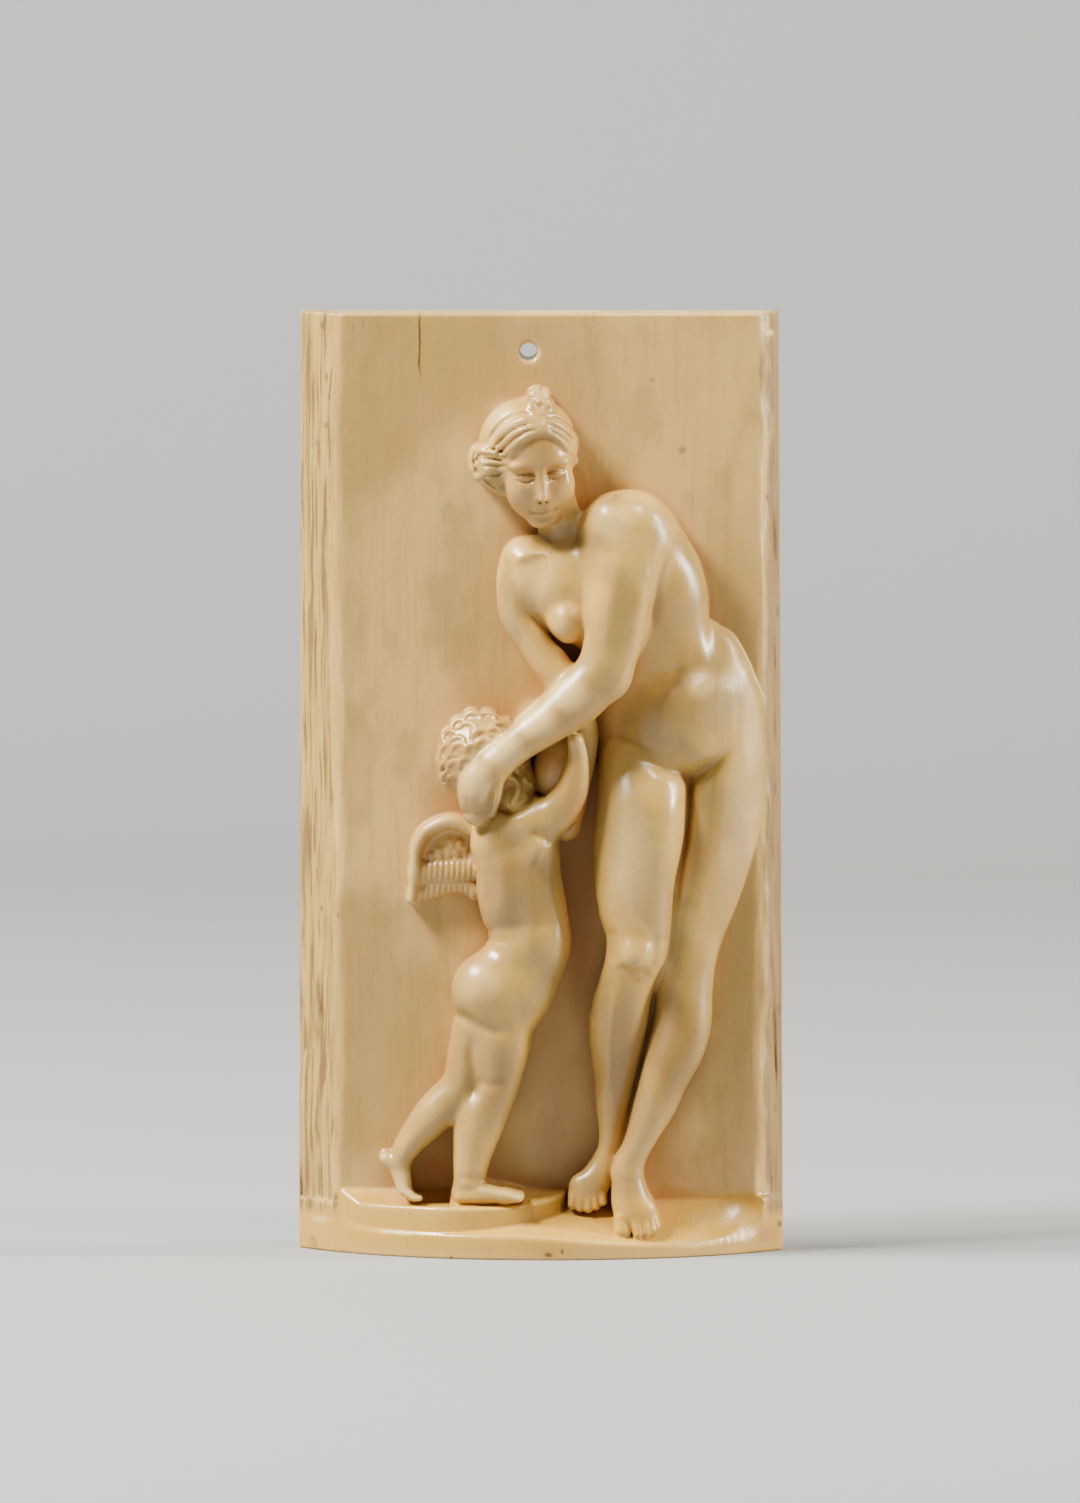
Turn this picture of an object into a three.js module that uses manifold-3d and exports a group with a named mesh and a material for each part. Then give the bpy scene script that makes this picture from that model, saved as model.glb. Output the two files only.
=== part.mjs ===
import * as THREE from 'three';
import { mergeVertices } from 'three/addons/utils/BufferGeometryUtils.js';
import Module from 'manifold-3d';

// Ivory plaque: one length of tusk, flat at the back, with a standing goddess and a winged
// child carved in high relief on the round side. One carved piece, so one solid.
// Millimetres, +Z up, +X to the viewer's right, the carved side faces -Y.
// The origin is the middle of the underside.

const wasm = await Module();
wasm.setup();

// Driving sizes of the slab
const height = 174.5;
const width = 90;
const depth = 30.5;
const groundFromBack = 12.5;
const edges = { leftFoot: -44.7, leftTop: -44.3, rightFoot: 44.8, rightTop: 43.7 };
const tuskRadius = 54;
const tuskCentre = 1.5;
const barkSetBack = 0.8;

// Hanging hole near the top
const hole = { across: -2.3, up: 167.5, radius: 1.6 };

// Ledge that the figures stand on, and the oval step on it under the child
const ledge = { wallHeight: 9.4, frontLeft: 4.4, frontRight: 2.4, dropsFrom: -6, dropsTo: 24 };
const step = {
  centre: -16.8, halfLength: 21.6, reach: 14.4, setBack: 0.8, bottom: 2,
  wallHeight: 11.9, rimHeight: 9.5, fallLeft: 3.5, fallRight: 12,
};

// How the relief is measured: "out" is the distance in front of the carved ground, and
// "seen" is the height that an eye looking 5 degrees down reads off the front of the ledge.
const eyeTilt = THREE.MathUtils.degToRad(5);
const reliefDepth = depth - groundFromBack;
const groundY = depth / 2 - groundFromBack;
const rootDepth = 1.5;
const undercut = 0.1;
const frontClearance = 0.2;
const smallHalfSize = 3;

// The limbs, each a row of stations: [across, seen, out, half width, half depth]
const goddess = {
  trunk: {
    neckRoot: [8, 136, 4, 8, 5],
    chest: [11.5, 128, 4.6, 16, 7.4],
    ribs: [16, 120, 4.8, 15, 8],
    waist: [21, 113, 4.2, 10.8, 8],
    belly: [25.6, 105, 3.6, 13.8, 8.2],
    hips: [26.8, 98, 2.8, 14.2, 8],
  },
  neck: {
    root: [5, 132, 4.5, 4.6, 4],
    throat: [2.6, 137.5, 6.5, 3.9, 4],
    nape: [1, 142, 7.5, 4, 4],
  },
  nearArm: {
    shoulder: [16.2, 135.5, 8, 6.8, 6],
    deltoid: [15.6, 129.5, 10, 6.4, 5.8],
    middle: [14.5, 121.5, 11, 5.8, 5],
    aboveElbow: [13.2, 114.5, 11.8, 5.3, 4.6],
    elbow: [11.8, 108.5, 12.2, 5, 4.5],
  },
  nearForearm: {
    elbow: [11.6, 109, 12, 4.9, 4.6],
    thick: [6.5, 103.8, 12.6, 4.9, 4.5],
    middle: [1, 99.4, 13, 4, 4],
    aboveWrist: [-4, 95.8, 13, 3.4, 3.4],
    wrist: [-8.5, 91.8, 12.8, 3, 2.8],
  },
  nearHand: {
    wrist: [-8.8, 91.4, 12.6, 3, 2.7],
    palm: [-11, 88.2, 12.4, 3.7, 2.5],
    fingers: [-11.7, 84.6, 11.8, 3.2, 2.2],
    tips: [-11.5, 81.8, 10.8, 2.1, 1.7],
  },
  farArm: {
    shoulder: [-2.6, 130, 5.5, 4.6, 5],
    deltoid: [-4, 125.5, 6.5, 4.2, 4.6],
    middle: [-4, 119.5, 6.5, 3.5, 4],
    bend: [-0.8, 114, 6.5, 3.4, 3.8],
    crossing: [4.5, 106.5, 6.5, 3.4, 3.6],
    forearm: [7.6, 98, 6.5, 2.9, 3.2],
    wrist: [7, 89, 6.5, 2.3, 2.6],
    hand: [4.6, 80.5, 6.5, 2.8, 2.4],
  },
  frontLeg: {
    hip: [19.6, 94, 3.8, 8.2, 8],
    top: [18.7, 85, 6, 8.3, 8.2],
    middle: [18.2, 77, 6, 8.4, 7.8],
    low: [17.4, 68.5, 6.2, 7.5, 7],
    aboveKnee: [17.8, 62, 6.8, 6.5, 6.2],
    knee: [17.6, 56, 7.2, 5.7, 5.8],
    belowKnee: [15.8, 50.5, 6.6, 5.3, 5.3],
    calf: [14.3, 43, 5.8, 5.5, 5.3],
    lowCalf: [13.8, 34, 5, 4.1, 4.2],
    shin: [13.3, 26, 4.8, 2.7, 3],
    ankle: [12, 18.5, 4.4, 2.1, 2.4],
  },
  rearLeg: {
    hip: [34.6, 93, -0.6, 7.1, 6.6],
    top: [34.4, 85, 0.2, 7.2, 6.4],
    middle: [33.4, 77.5, 1, 6.6, 6.2],
    low: [31.2, 68.5, 2.4, 6, 6],
    aboveKnee: [29, 60, 3.6, 4.9, 5.2],
    knee: [27.6, 54.5, 4.4, 4.7, 5],
    belowKnee: [26.7, 49, 4.8, 5, 5.2],
    calf: [25.5, 41.5, 5.8, 5.7, 5.4],
    lowCalf: [22.6, 33, 7.4, 4.9, 4.8],
    shin: [19.6, 25, 8.8, 3.8, 3.8],
    ankle: [16.2, 17, 9.8, 2.9, 2.9],
  },
  frontFoot: {
    ankle: [16, 15.5, 9.8, 2.9, 3],
    instep: [16.8, 10.6, 10.4, 3.8, 3.2],
    ball: [17.3, 7.2, 11.8, 4.2, 2.6],
    toes: [17.4, 5.2, 12.8, 4, 1.8],
  },
  rearFoot: {
    ankle: [11.9, 18.5, 4.4, 2.2, 2.4],
    instep: [10.2, 15, 5, 3, 2.6],
    ball: [8.7, 12, 5.2, 3.8, 2.2],
    toes: [8.6, 9.9, 4.9, 3.7, 1.7],
  },
};

const child = {
  trunk: {
    shoulders: [-5.6, 80, 7.5, 7.2, 5.6],
    shoulderBlades: [-4.2, 75, 8, 7.6, 6.6],
    back: [-4, 69, 8, 8.1, 7],
    waist: [-2.6, 62.5, 7.6, 7.5, 6.6],
    loin: [-2.4, 57.5, 7.6, 7.4, 6.6],
    hips: [-4.6, 52, 7.6, 8, 6.8],
    seat: [-7.4, 47.5, 7.4, 7.4, 6.4],
  },
  arm: {
    shoulder: [-2.2, 80.6, 9.8, 5, 4.6],
    upper: [2.2, 82.4, 10.8, 3.9, 3.6],
    elbow: [5.2, 86.2, 11.4, 3, 2.9],
    forearm: [6.4, 90.2, 11.6, 2.4, 2.4],
    wrist: [6.6, 93.6, 11.8, 1.8, 1.9],
    hand: [5.8, 96.6, 12, 2, 1.8],
  },
  standingLeg: {
    hip: [-7, 44.5, 8, 6.2, 6],
    thigh: [-7.6, 38.5, 8.2, 5.4, 5.2],
    knee: [-8.8, 31, 8.6, 4.4, 4.6],
    calf: [-11.2, 25.5, 8.8, 4.5, 4.2],
    shin: [-12.6, 19.5, 9, 3.7, 3.4],
    ankle: [-13.3, 14.5, 9, 2.9, 3],
  },
  standingFoot: {
    heel: [-14.6, 12.3, 8.4, 2, 2.2],
    instep: [-10.6, 12.3, 9.6, 1.9, 2.6],
    toes: [-5, 11.6, 10, 1, 2.2],
  },
  trailingLeg: {
    hip: [-11.8, 43.5, 6.5, 4.6, 5],
    thigh: [-13, 38, 6.8, 4.5, 4.8],
    knee: [-14.8, 31.8, 7.2, 4, 4.4],
    calf: [-19.6, 27, 7.2, 3.6, 3.8],
    shin: [-23.8, 22.2, 6.8, 2.7, 2.8],
    ankle: [-26.2, 18.4, 6.4, 2.2, 2.2],
  },
  trailingFoot: {
    heel: [-28.6, 18.7, 6, 1.5, 1.8],
    arch: [-26, 17, 6.6, 1.7, 1.8],
    ball: [-25.4, 13.6, 7.6, 1.5, 1.9],
    toes: [-23.8, 11.9, 8.4, 1, 1.8],
  },
};

// Rounded masses: [across, seen, out, half width, half height, half depth, turn in degrees]
const goddessMasses = {
  shoulder: [16, 134.6, 7, 8, 7.4, 6.6, 0],
  shoulderBlade: [20.5, 130.5, 2.5, 8.6, 9.4, 7.4, -20],
  farShoulder: [-2.8, 130.4, 4.8, 4.8, 5, 4.6, 30],
  breast: [5, 118.6, 9.6, 4, 4.2, 4.4, 0],
  chestFront: [3.6, 124.4, 5.6, 6.4, 7.6, 5.6, 15],
  belly: [25, 100.8, 4.2, 12.4, 11, 8.2, 0],
  flank: [32.4, 105, 1, 8.6, 11, 7.4, 8],
  face: [-0.4, 144.6, 9.4, 5.9, 8.4, 6.6, 8],
  nose: [-2, 143.4, 14.4, 1, 2.2, 2.1, 8],
  hairCap: [-2.2, 150.8, 7.6, 8.7, 8.2, 7.6, 12],
  hairWave: [-1.5, 153.8, 9.2, 8, 4.2, 6.2, 6],
  sideRoll: [-9.6, 147, 8.2, 3.2, 3.6, 4.2, -20],
  lowRoll: [-8.8, 144, 8, 2.2, 2.4, 3.4, -20],
  farRoll: [5.2, 149.4, 8.4, 2, 4.4, 5, 0],
  knotLeft: [-1.2, 160.2, 6.6, 1.5, 1.6, 2.6, 30],
  knotRight: [0.6, 159.4, 6.6, 1.5, 1.5, 2.6, -30],
  knotLow: [0.5, 156.8, 12.4, 1.5, 1.3, 2, 0],
  thumb: [-8.7, 85.4, 11.8, 1, 3.6, 1.7, 6],
};

const childMasses = {
  skull: [-10.4, 92.4, 6, 9, 9.2, 8.4, 0],
  cheek: [-5.4, 87.6, 7, 4.4, 4.6, 5.4, 0],
  ear: [-4.9, 87.8, 12, 1.3, 2, 1.4, 15],
  shoulder: [-11, 77.4, 7.4, 4.6, 4.2, 5.4, 20],
  roundBehind: [-10.2, 50.6, 9.4, 6.3, 5.7, 6, 0],
  belly: [0.2, 60, 7.8, 4.8, 7, 6, 0],
  sideHip: [-3.6, 47, 8.6, 6, 6, 6, 0],
};

// The child's curls, in two rings round the head as it is seen
const curls = {
  outer: { count: 8, from: 20, to: 215, ringAcross: 7.7, ringUp: 7.9, out: 8.6, size: 2.1 },
  inner: { count: 5, from: 40, to: 205, ringAcross: 4, ringUp: 4.4, out: 12.4, size: 2.2 },
};

// The wing: a thin raised sheet, a thick leading edge, and a fan of long feathers
const wing = {
  out: 3.2,
  sheetOutline: [[-12, 66.5], [-12, 80.6], [-15, 82.2], [-18.6, 82], [-21.4, 80.6], [-23.4, 78], [-23.8, 73.6]],
  rim: {
    root: [-12.6, 79.6, 4.4, 1.4, 1.7],
    rise: [-16.6, 81.4, 4.4, 1.4, 1.6],
    bend: [-20.8, 80, 4.2, 1.4, 1.5],
    fall: [-23, 76.8, 3.8, 1.2, 1.3],
    tip: [-23.6, 71.8, 3.2, 0.9, 1],
  },
  feathers: { count: 9, topLeft: -23, topRight: -13, lowLeft: -23.9, lowRight: -12.6, top: 74.6, low: 67 },
};

// A place in the part's own frame
function place(across, seen, out) {
  const lift = (reliefDepth - out) * Math.sin(eyeTilt);
  return new THREE.Vector3(across, groundY - out, (seen - lift) / Math.cos(eyeTilt));
}

// How far the round outside of the tusk stands in front of the carved ground
function tuskFront(across, setBack = 0) {
  const radius = tuskRadius - setBack;
  return Math.sqrt(radius ** 2 - (across - tuskCentre) ** 2) - (tuskRadius - reliefDepth);
}

function closedSolid(geometry) {
  const bare = new THREE.BufferGeometry();
  bare.setAttribute('position', geometry.getAttribute('position'));
  bare.setIndex(geometry.index);
  const merged = mergeVertices(bare, 1e-4);
  const corners = merged.index.array;
  const kept = [];
  for (let i = 0; i < corners.length; i += 3) {
    const [a, b, c] = corners.slice(i, i + 3);
    if (a !== b && b !== c && c !== a) {
      kept.push(a, b, c);
    }
  }
  return new wasm.Manifold(new wasm.Mesh({
    numProp: 3,
    vertProperties: new Float32Array(merged.getAttribute('position').array),
    triVerts: new Uint32Array(kept),
  }));
}

function moveVertices(geometry, mover) {
  const position = geometry.getAttribute('position');
  const point = new THREE.Vector3();
  for (let i = 0; i < position.count; i += 1) {
    point.fromBufferAttribute(position, i);
    mover(point);
    position.setXYZ(i, point.x, point.y, point.z);
  }
  return geometry;
}

// Relief grows out of the ground, so the section of a form is half an oval in front, and two
// corners behind it that are rooted in the slab, a little closer together.
function sectionCorner(point, sides, fullness, halfWidth, halfDepth, out) {
  const turn = Math.atan2(point.z, -point.x) / (2 * Math.PI);
  const corner = Math.round((turn + 1) * sides) % sides;
  const lastInFront = sides - 3;
  if (corner <= lastInFront) {
    const angle = (Math.PI * corner) / lastInFront;
    return {
      sideways: -Math.cos(angle) * fullness * halfWidth,
      forwards: Math.sin(angle) * fullness * halfDepth,
    };
  }
  const wayBack = Math.min(1, 2 * fullness);
  const side = corner === sides - 2 ? 1 : -1;
  return {
    sideways: side * fullness * halfWidth * (1 - undercut * wayBack),
    forwards: -wayBack * (out + rootDepth),
  };
}

// A limb: a ball drawn out along the curve through its stations
function limb(stations, sides = 9, rows = 12) {
  const list = Object.values(stations);
  const path = new THREE.CatmullRomCurve3(list.map(([across, seen, out]) => place(across, seen, out)));
  const girth = new THREE.CatmullRomCurve3(list.map(([, , out, half, deep]) => new THREE.Vector3(half, deep, out)));
  const forwardsAxis = new THREE.Vector3(0, -1, 0);
  const endShare = 2 / rows;
  return closedSolid(moveVertices(new THREE.SphereGeometry(1, sides, rows), (point) => {
    const share = Math.acos(THREE.MathUtils.clamp(point.y, -1, 1)) / Math.PI;
    const along = THREE.MathUtils.clamp((share - endShare) / (1 - 2 * endShare), 0, 1);
    const fromEnd = Math.min(1, Math.min(share, 1 - share) / endShare) * Math.PI / 2;
    const size = girth.getPoint(along);
    const run = path.getTangent(along);
    const sidewaysAxis = new THREE.Vector3().crossVectors(forwardsAxis, run).normalize();
    const corner = sectionCorner(point, sides, Math.sin(fromEnd), size.x, size.y, size.z);
    const overshoot = Math.cos(fromEnd) * Math.sign(share - 0.5) * Math.min(size.x, size.y);
    point.copy(path.getPoint(along))
      .addScaledVector(sidewaysAxis, corner.sideways)
      .addScaledVector(forwardsAxis, corner.forwards)
      .addScaledVector(run, overshoot);
  }));
}

// A rounded mass: a ball with three half sizes, turned in the plane of the relief
function mass([across, seen, out, halfWidth, halfHeight, halfDepth, turn], sides = 10, rows = 7) {
  const centre = place(across, seen, out);
  const angle = THREE.MathUtils.degToRad(turn);
  return closedSolid(moveVertices(new THREE.SphereGeometry(1, sides, rows), (point) => {
    const fullness = Math.sqrt(Math.max(0, 1 - point.y ** 2));
    const corner = sectionCorner(point, sides, fullness, halfWidth, halfDepth, out);
    const upwards = point.y * halfHeight;
    point.set(
      centre.x + corner.sideways * Math.cos(angle) - upwards * Math.sin(angle),
      centre.y - corner.forwards,
      centre.z + corner.sideways * Math.sin(angle) + upwards * Math.cos(angle),
    );
  }));
}

// A plan, given as [across, out] points, raised from one level to another
function raised(points, from, to) {
  const plan = new THREE.Shape(points.map(([across, out]) => new THREE.Vector2(across, groundY - out)));
  const block = new THREE.ExtrudeGeometry(plan, { depth: to - from, bevelEnabled: false });
  return block.translate(0, 0, from);
}

function evenly(from, to, count) {
  return Array.from({ length: count + 1 }, (unused, i) => from + ((to - from) * i) / count);
}

// The slab: flat carved ground between two strips of the tusk's outside, which fall back
function slab() {
  const strip = (from, to) => evenly(from, to, 4).map((across) => [across, tuskFront(across, barkSetBack)]);
  const flatHalf = Math.sqrt((tuskRadius - barkSetBack) ** 2 - (tuskRadius - reliefDepth) ** 2);
  const plan = [
    [edges.rightFoot, -groundFromBack],
    ...strip(edges.rightFoot, tuskCentre + flatHalf),
    ...strip(tuskCentre - flatHalf, edges.leftFoot),
    [edges.leftFoot, -groundFromBack],
  ];
  const block = moveVertices(raised(plan, 0, height), (point) => {
    const up = point.z / height;
    const lean = point.x > 0 ? edges.rightTop / edges.rightFoot : edges.leftTop / edges.leftFoot;
    point.x *= 1 + (lean - 1) * up;
  });
  return closedSolid(block);
}

// The ledge keeps the full round of the tusk, and its top falls from the ground to the front
function ledgeBlock() {
  const block = new THREE.BoxGeometry(1, 1, 1, 24, 2, 1);
  return closedSolid(moveVertices(block, (point) => {
    const across = point.x * width;
    const front = tuskFront(across);
    const rim = ledge.frontLeft
      + (ledge.frontRight - ledge.frontLeft) * THREE.MathUtils.smoothstep(across, ledge.dropsFrom, ledge.dropsTo);
    const atFront = point.y < -0.25;
    const behind = point.y > 0.25 ? -groundFromBack : Math.min(0, front - frontClearance);
    const out = atFront ? front : behind;
    const top = atFront ? rim : ledge.wallHeight;
    point.set(across, groundY - out, point.z > 0 ? top : 0);
  }));
}

// The oval step under the child, a little behind the round of the ledge
function stepBlock() {
  const rim = evenly(-1, 1, 16).map((share) => {
    const across = step.centre + step.halfLength * Math.sin(share * Math.PI / 2);
    const oval = step.reach * Math.cos(share * Math.PI / 2);
    return [across, Math.min(oval, tuskFront(across) - step.setBack)];
  });
  const plan = [
    [step.centre - step.halfLength, -rootDepth],
    ...rim,
    [step.centre + step.halfLength, -rootDepth],
  ];
  return closedSolid(moveVertices(raised(plan, step.bottom, step.wallHeight), (point) => {
    if (point.z > step.bottom) {
      const out = groundY - point.y;
      const fall = point.x < step.centre ? step.fallLeft : step.fallRight;
      const share = THREE.MathUtils.clamp(out / fall, 0, 1);
      point.z = step.wallHeight + (step.rimHeight - step.wallHeight) * share;
    }
  }));
}

// What no carving passes: the full round of the tusk, inside the length of the piece
function tuskEnvelope() {
  const half = width / 2;
  const front = evenly(half, -half, 30).map((across) => [across, tuskFront(across)]);
  return closedSolid(raised([[half, -groundFromBack], ...front, [-half, -groundFromBack]], 0, height));
}

function hangingHole() {
  const drill = new THREE.CylinderGeometry(hole.radius, hole.radius, depth * 2, 20);
  return closedSolid(drill.translate(hole.across, 0, hole.up));
}

function curlMasses() {
  const [across, seen] = childMasses.skull;
  return Object.values(curls).flatMap((ring) => evenly(ring.from, ring.to, ring.count - 1).map((degrees) => {
    const angle = THREE.MathUtils.degToRad(degrees);
    const curlAcross = across + ring.ringAcross * Math.cos(angle);
    const curlSeen = seen + ring.ringUp * Math.sin(angle);
    return mass([curlAcross, curlSeen, ring.out, ring.size, ring.size, ring.size, 0], 6, 4);
  }));
}

function wingSheet() {
  const outline = wing.sheetOutline.map(([across, seen]) => {
    const corner = place(across, seen, wing.out);
    return new THREE.Vector2(corner.x, corner.z);
  });
  const sheet = new THREE.ExtrudeGeometry(new THREE.Shape(outline), {
    depth: wing.out + rootDepth,
    bevelEnabled: false,
  });
  return closedSolid(sheet.rotateX(Math.PI / 2).translate(0, groundY + rootDepth, 0));
}

function wingFeathers() {
  const { count, topLeft, topRight, lowLeft, lowRight, top, low } = wing.feathers;
  return evenly(0, 1, count - 1).map((share) => {
    const topAcross = topLeft + (topRight - topLeft) * share;
    const lowAcross = lowLeft + (lowRight - lowLeft) * share;
    const feather = {
      top: [topAcross, top, wing.out, 0.9, 0.6],
      middle: [(topAcross + lowAcross) / 2, (top + low) / 2, wing.out, 0.9, 0.9],
      tip: [lowAcross, low, wing.out, 0.6, 0.5],
    };
    return limb(feather, 5, 5);
  });
}

function figures() {
  const masses = [...Object.values(goddessMasses), ...Object.values(childMasses)];
  const legs = [goddess.frontLeg, goddess.rearLeg];
  const limbs = [...Object.values(goddess), ...Object.values(child), wing.rim];
  const parts = [
    ...masses.map((row) => (Math.min(row[3], row[4]) < smallHalfSize ? mass(row, 8, 5) : mass(row))),
    ...limbs.map((row) => limb(row, 10, legs.includes(row) ? 18 : 12)),
    ...curlMasses(),
    wingSheet(),
    ...wingFeathers(),
  ];
  return parts.reduce((whole, piece) => whole.add(piece));
}

function carvedPlaque() {
  const carving = figures().add(stepBlock()).intersect(tuskEnvelope());
  return slab().add(ledgeBlock()).add(carving).subtract(hangingHole());
}

// Slivers of space that the forms shut in between them are left solid: of all the closed
// skins, only the one that holds the underside is kept.
function outerSkin(places, corners) {
  const leaders = Array.from({ length: places.length / 3 }, (unused, i) => i);
  const leaderOf = (vertex) => {
    let leader = vertex;
    while (leaders[leader] !== leader) {
      leader = leaders[leader];
    }
    return leader;
  };
  for (let i = 0; i < corners.length; i += 3) {
    leaders[leaderOf(corners[i + 1])] = leaderOf(corners[i]);
    leaders[leaderOf(corners[i + 2])] = leaderOf(corners[i]);
  }
  const outermost = leaderOf(corners.find((corner) => places[3 * corner + 2] === 0));
  return Array.from(corners.filter((corner) => leaderOf(corner) === outermost));
}

function geometryOf(carved) {
  const { vertProperties, triVerts } = carved.getMesh();
  const geometry = new THREE.BufferGeometry();
  geometry.setAttribute('position', new THREE.BufferAttribute(vertProperties, 3));
  geometry.setIndex(outerSkin(vertProperties, triVerts));
  return mergeVertices(geometry.toNonIndexed(), 1e-5);
}

const ivory = new THREE.MeshStandardMaterial({ color: 0xdcc69c, roughness: 0.35, metalness: 0 });
const plaque = new THREE.Mesh(geometryOf(carvedPlaque()), ivory);
plaque.name = 'plaque';

const part = new THREE.Group();
part.add(plaque);

export default part;
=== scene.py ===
import itertools
import math

import bmesh
import bpy
import numpy as np
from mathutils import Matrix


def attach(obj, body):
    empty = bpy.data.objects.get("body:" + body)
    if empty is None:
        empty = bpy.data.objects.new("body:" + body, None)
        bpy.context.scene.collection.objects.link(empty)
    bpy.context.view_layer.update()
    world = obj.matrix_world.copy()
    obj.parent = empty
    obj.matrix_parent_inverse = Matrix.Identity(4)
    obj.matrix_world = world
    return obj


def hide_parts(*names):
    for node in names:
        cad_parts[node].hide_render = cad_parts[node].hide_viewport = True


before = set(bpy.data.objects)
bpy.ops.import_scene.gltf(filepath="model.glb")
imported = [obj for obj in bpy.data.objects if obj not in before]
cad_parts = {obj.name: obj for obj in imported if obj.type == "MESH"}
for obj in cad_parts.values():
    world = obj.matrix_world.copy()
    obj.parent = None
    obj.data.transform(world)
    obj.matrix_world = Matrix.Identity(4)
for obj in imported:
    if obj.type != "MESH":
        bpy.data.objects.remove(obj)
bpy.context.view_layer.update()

import openvdb
from mathutils import Matrix, Vector

print("plaque frame loaded")

# Camera: a long lens that looks a little down on the plaque
photo = {
    "width": 1080,
    "height": 1503,
    "mmPerPixel": 0.1852,        # of the photo, at the plaque
    "middlePixel": 541,          # where the middle of the plaque stands
    "footPixel": 1260.5,         # the lowest edge of the plaque
    "distance": 5,               # metres
    "tiltDegrees": 4.2,
}

slab = {                         # millimetres
    "height": 174.5,
    "depth": 30.5,
    "groundFromBack": 12.5,
    "leftFoot": -45,
    "leftTop": -44.6,
    "rightFoot": 45,
    "rightTop": 44.1,
    "tuskRadius": 54,
    "tuskCentre": 1.5,
    "barkSetBack": 0.8,
    "footFrom": 8,               # the foot keeps its full width up to here
    "footTo": 9.5,
    "edgeSoftness": 1.0,
    "sawnSoftness": 0.4,
}

reliefDepth = slab["depth"] - slab["groundFromBack"]
groundY = slab["depth"] / 2 - slab["groundFromBack"]
tilt = math.radians(photo["tiltDegrees"])

# Heights in the relief are written as the camera sees them, a little from above, over the
# front edge of the foot. "out" is the distance in front of the carved ground.
def heightOf(seen, out):
    return (seen - (reliefDepth - out) * math.sin(tilt)) / math.cos(tilt)

def makeCamera():
    lens = bpy.data.cameras.new("camera")
    camera = bpy.data.objects.new("camera", lens)
    bpy.context.scene.collection.objects.link(camera)
    lens.sensor_fit = "VERTICAL"
    lens.sensor_height = 24
    tall = photo["height"] * photo["mmPerPixel"] / 1000
    lens.lens = lens.sensor_height / 2 / (tall / 2 / photo["distance"])
    lens.clip_start = 0.05
    lens.clip_end = 20
    across = (photo["width"] / 2 - photo["middlePixel"]) * photo["mmPerPixel"]
    seen = (photo["footPixel"] - photo["height"] / 2) * photo["mmPerPixel"]
    out = reliefDepth / 2
    target = Vector((across, groundY - out, heightOf(seen, out))) / 1000
    look = Vector((0, math.cos(tilt), -math.sin(tilt)))
    camera.location = target - look * photo["distance"]
    camera.rotation_euler = look.to_track_quat("-Z", "Y").to_euler()
    bpy.context.scene.camera = camera

makeCamera()
print("camera set")

# The block of ivory is a field of distances in millimetres: below zero is ivory, above is air.
# Its three directions are across (to the viewer's right), up, and out of the carved ground.
block = {
    "low": (-46, -1.5, -14),
    "high": (46, 176, 19.5),
    "step": 0.25,
    "far": 9.0,                  # distances are not followed further than this
    "root": -2.5,                # how deep behind the ground a form is rooted
    "undercut": 0.12,            # a form narrows by this share towards its root
    "trunkUndercut": 0.1,
    "trunkEnds": 2.0,            # how softly a trunk is cut off at its two ends
    "tiny": 1e-3,                # keeps the middle of a form from dividing by zero
}

axes = [
    np.arange(low, high, block["step"], dtype=np.float32)
    for low, high in zip(block["low"], block["high"])
]

def newBlock():                  # nothing but air
    return np.full([len(axis) for axis in axes], block["far"], dtype=np.float32)

def window(low, high):           # the cells between two corners
    return tuple(
        slice(*np.searchsorted(axis, (start, end)))
        for axis, start, end in zip(axes, low, high)
    )

everyCell = (slice(None), slice(None), slice(None))

def gridOf(cells):
    across, up, out = (axis[part] for axis, part in zip(axes, cells))
    return across[:, None, None], up[None, :, None], out[None, None, :]

def softJoin(old, new, softness):
    mix = np.clip(0.5 + 0.5 * (old - new) / softness, 0, 1)
    return old + (new - old) * mix - softness * mix * (1 - mix)

def softCut(old, tool, softness):
    return -softJoin(-old, tool, softness)

def smoothStep(low, high, value):
    share = np.clip((value - low) / (high - low), 0, 1)
    return share * share * (3 - 2 * share)

def fieldAt(field, places, every=1):     # distances at places, where every so many cells are kept
    cell = (places - np.array(block["low"])) / (block["step"] * every)
    cell = np.clip(cell, 0, np.array(field.shape) - 1.001)
    first = cell.astype(int)
    share = cell - first
    value = np.zeros(len(places))
    for corner in itertools.product((0, 1), repeat=3):
        weight = np.prod(np.where(np.array(corner) == 1, share, 1 - share), axis=1)
        value += weight * field[tuple((first + np.array(corner)).T)]
    return value

# Rows of [across, seen, ...] are laid on what is carved so far, lifted or sunk by so much
def laid(field, rows, lift=0.0):
    outs = np.arange(block["high"][2] - 0.7, -1, -0.2)
    stations = []
    for across, seen, *sizes in rows:
        places = np.stack([np.full_like(outs, across), heightOf(seen, outs), outs], axis=1)
        front = outs[np.argmax(fieldAt(field, places) < 0)]
        stations.append((across, seen, front + lift, *sizes))
    return stations

def placed(rows):                # heights as seen become real heights
    rows = np.array(rows, dtype=float)
    rows[:, 1] = heightOf(rows[:, 1], rows[:, 2])
    return rows

def curveThrough(rows, spacing=0.7):
    steps = np.linalg.norm(np.diff(rows[:, :2], axis=0), axis=1)
    count = max(8, int(steps.sum() / spacing))
    ends = np.vstack([2 * rows[0] - rows[1], rows, 2 * rows[-1] - rows[-2]])
    share = np.linspace(0, len(rows) - 1, count + 1)
    first = np.minimum(share.astype(int), len(rows) - 2)
    t = (share - first)[:, None]
    a, b, c, d = (ends[first + shift] for shift in range(4))
    return 0.5 * (2 * b + (c - a) * t + (2 * a - 5 * b + 4 * c - d) * t ** 2
                  + (3 * b - a - 3 * c + d) * t ** 3)

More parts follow.
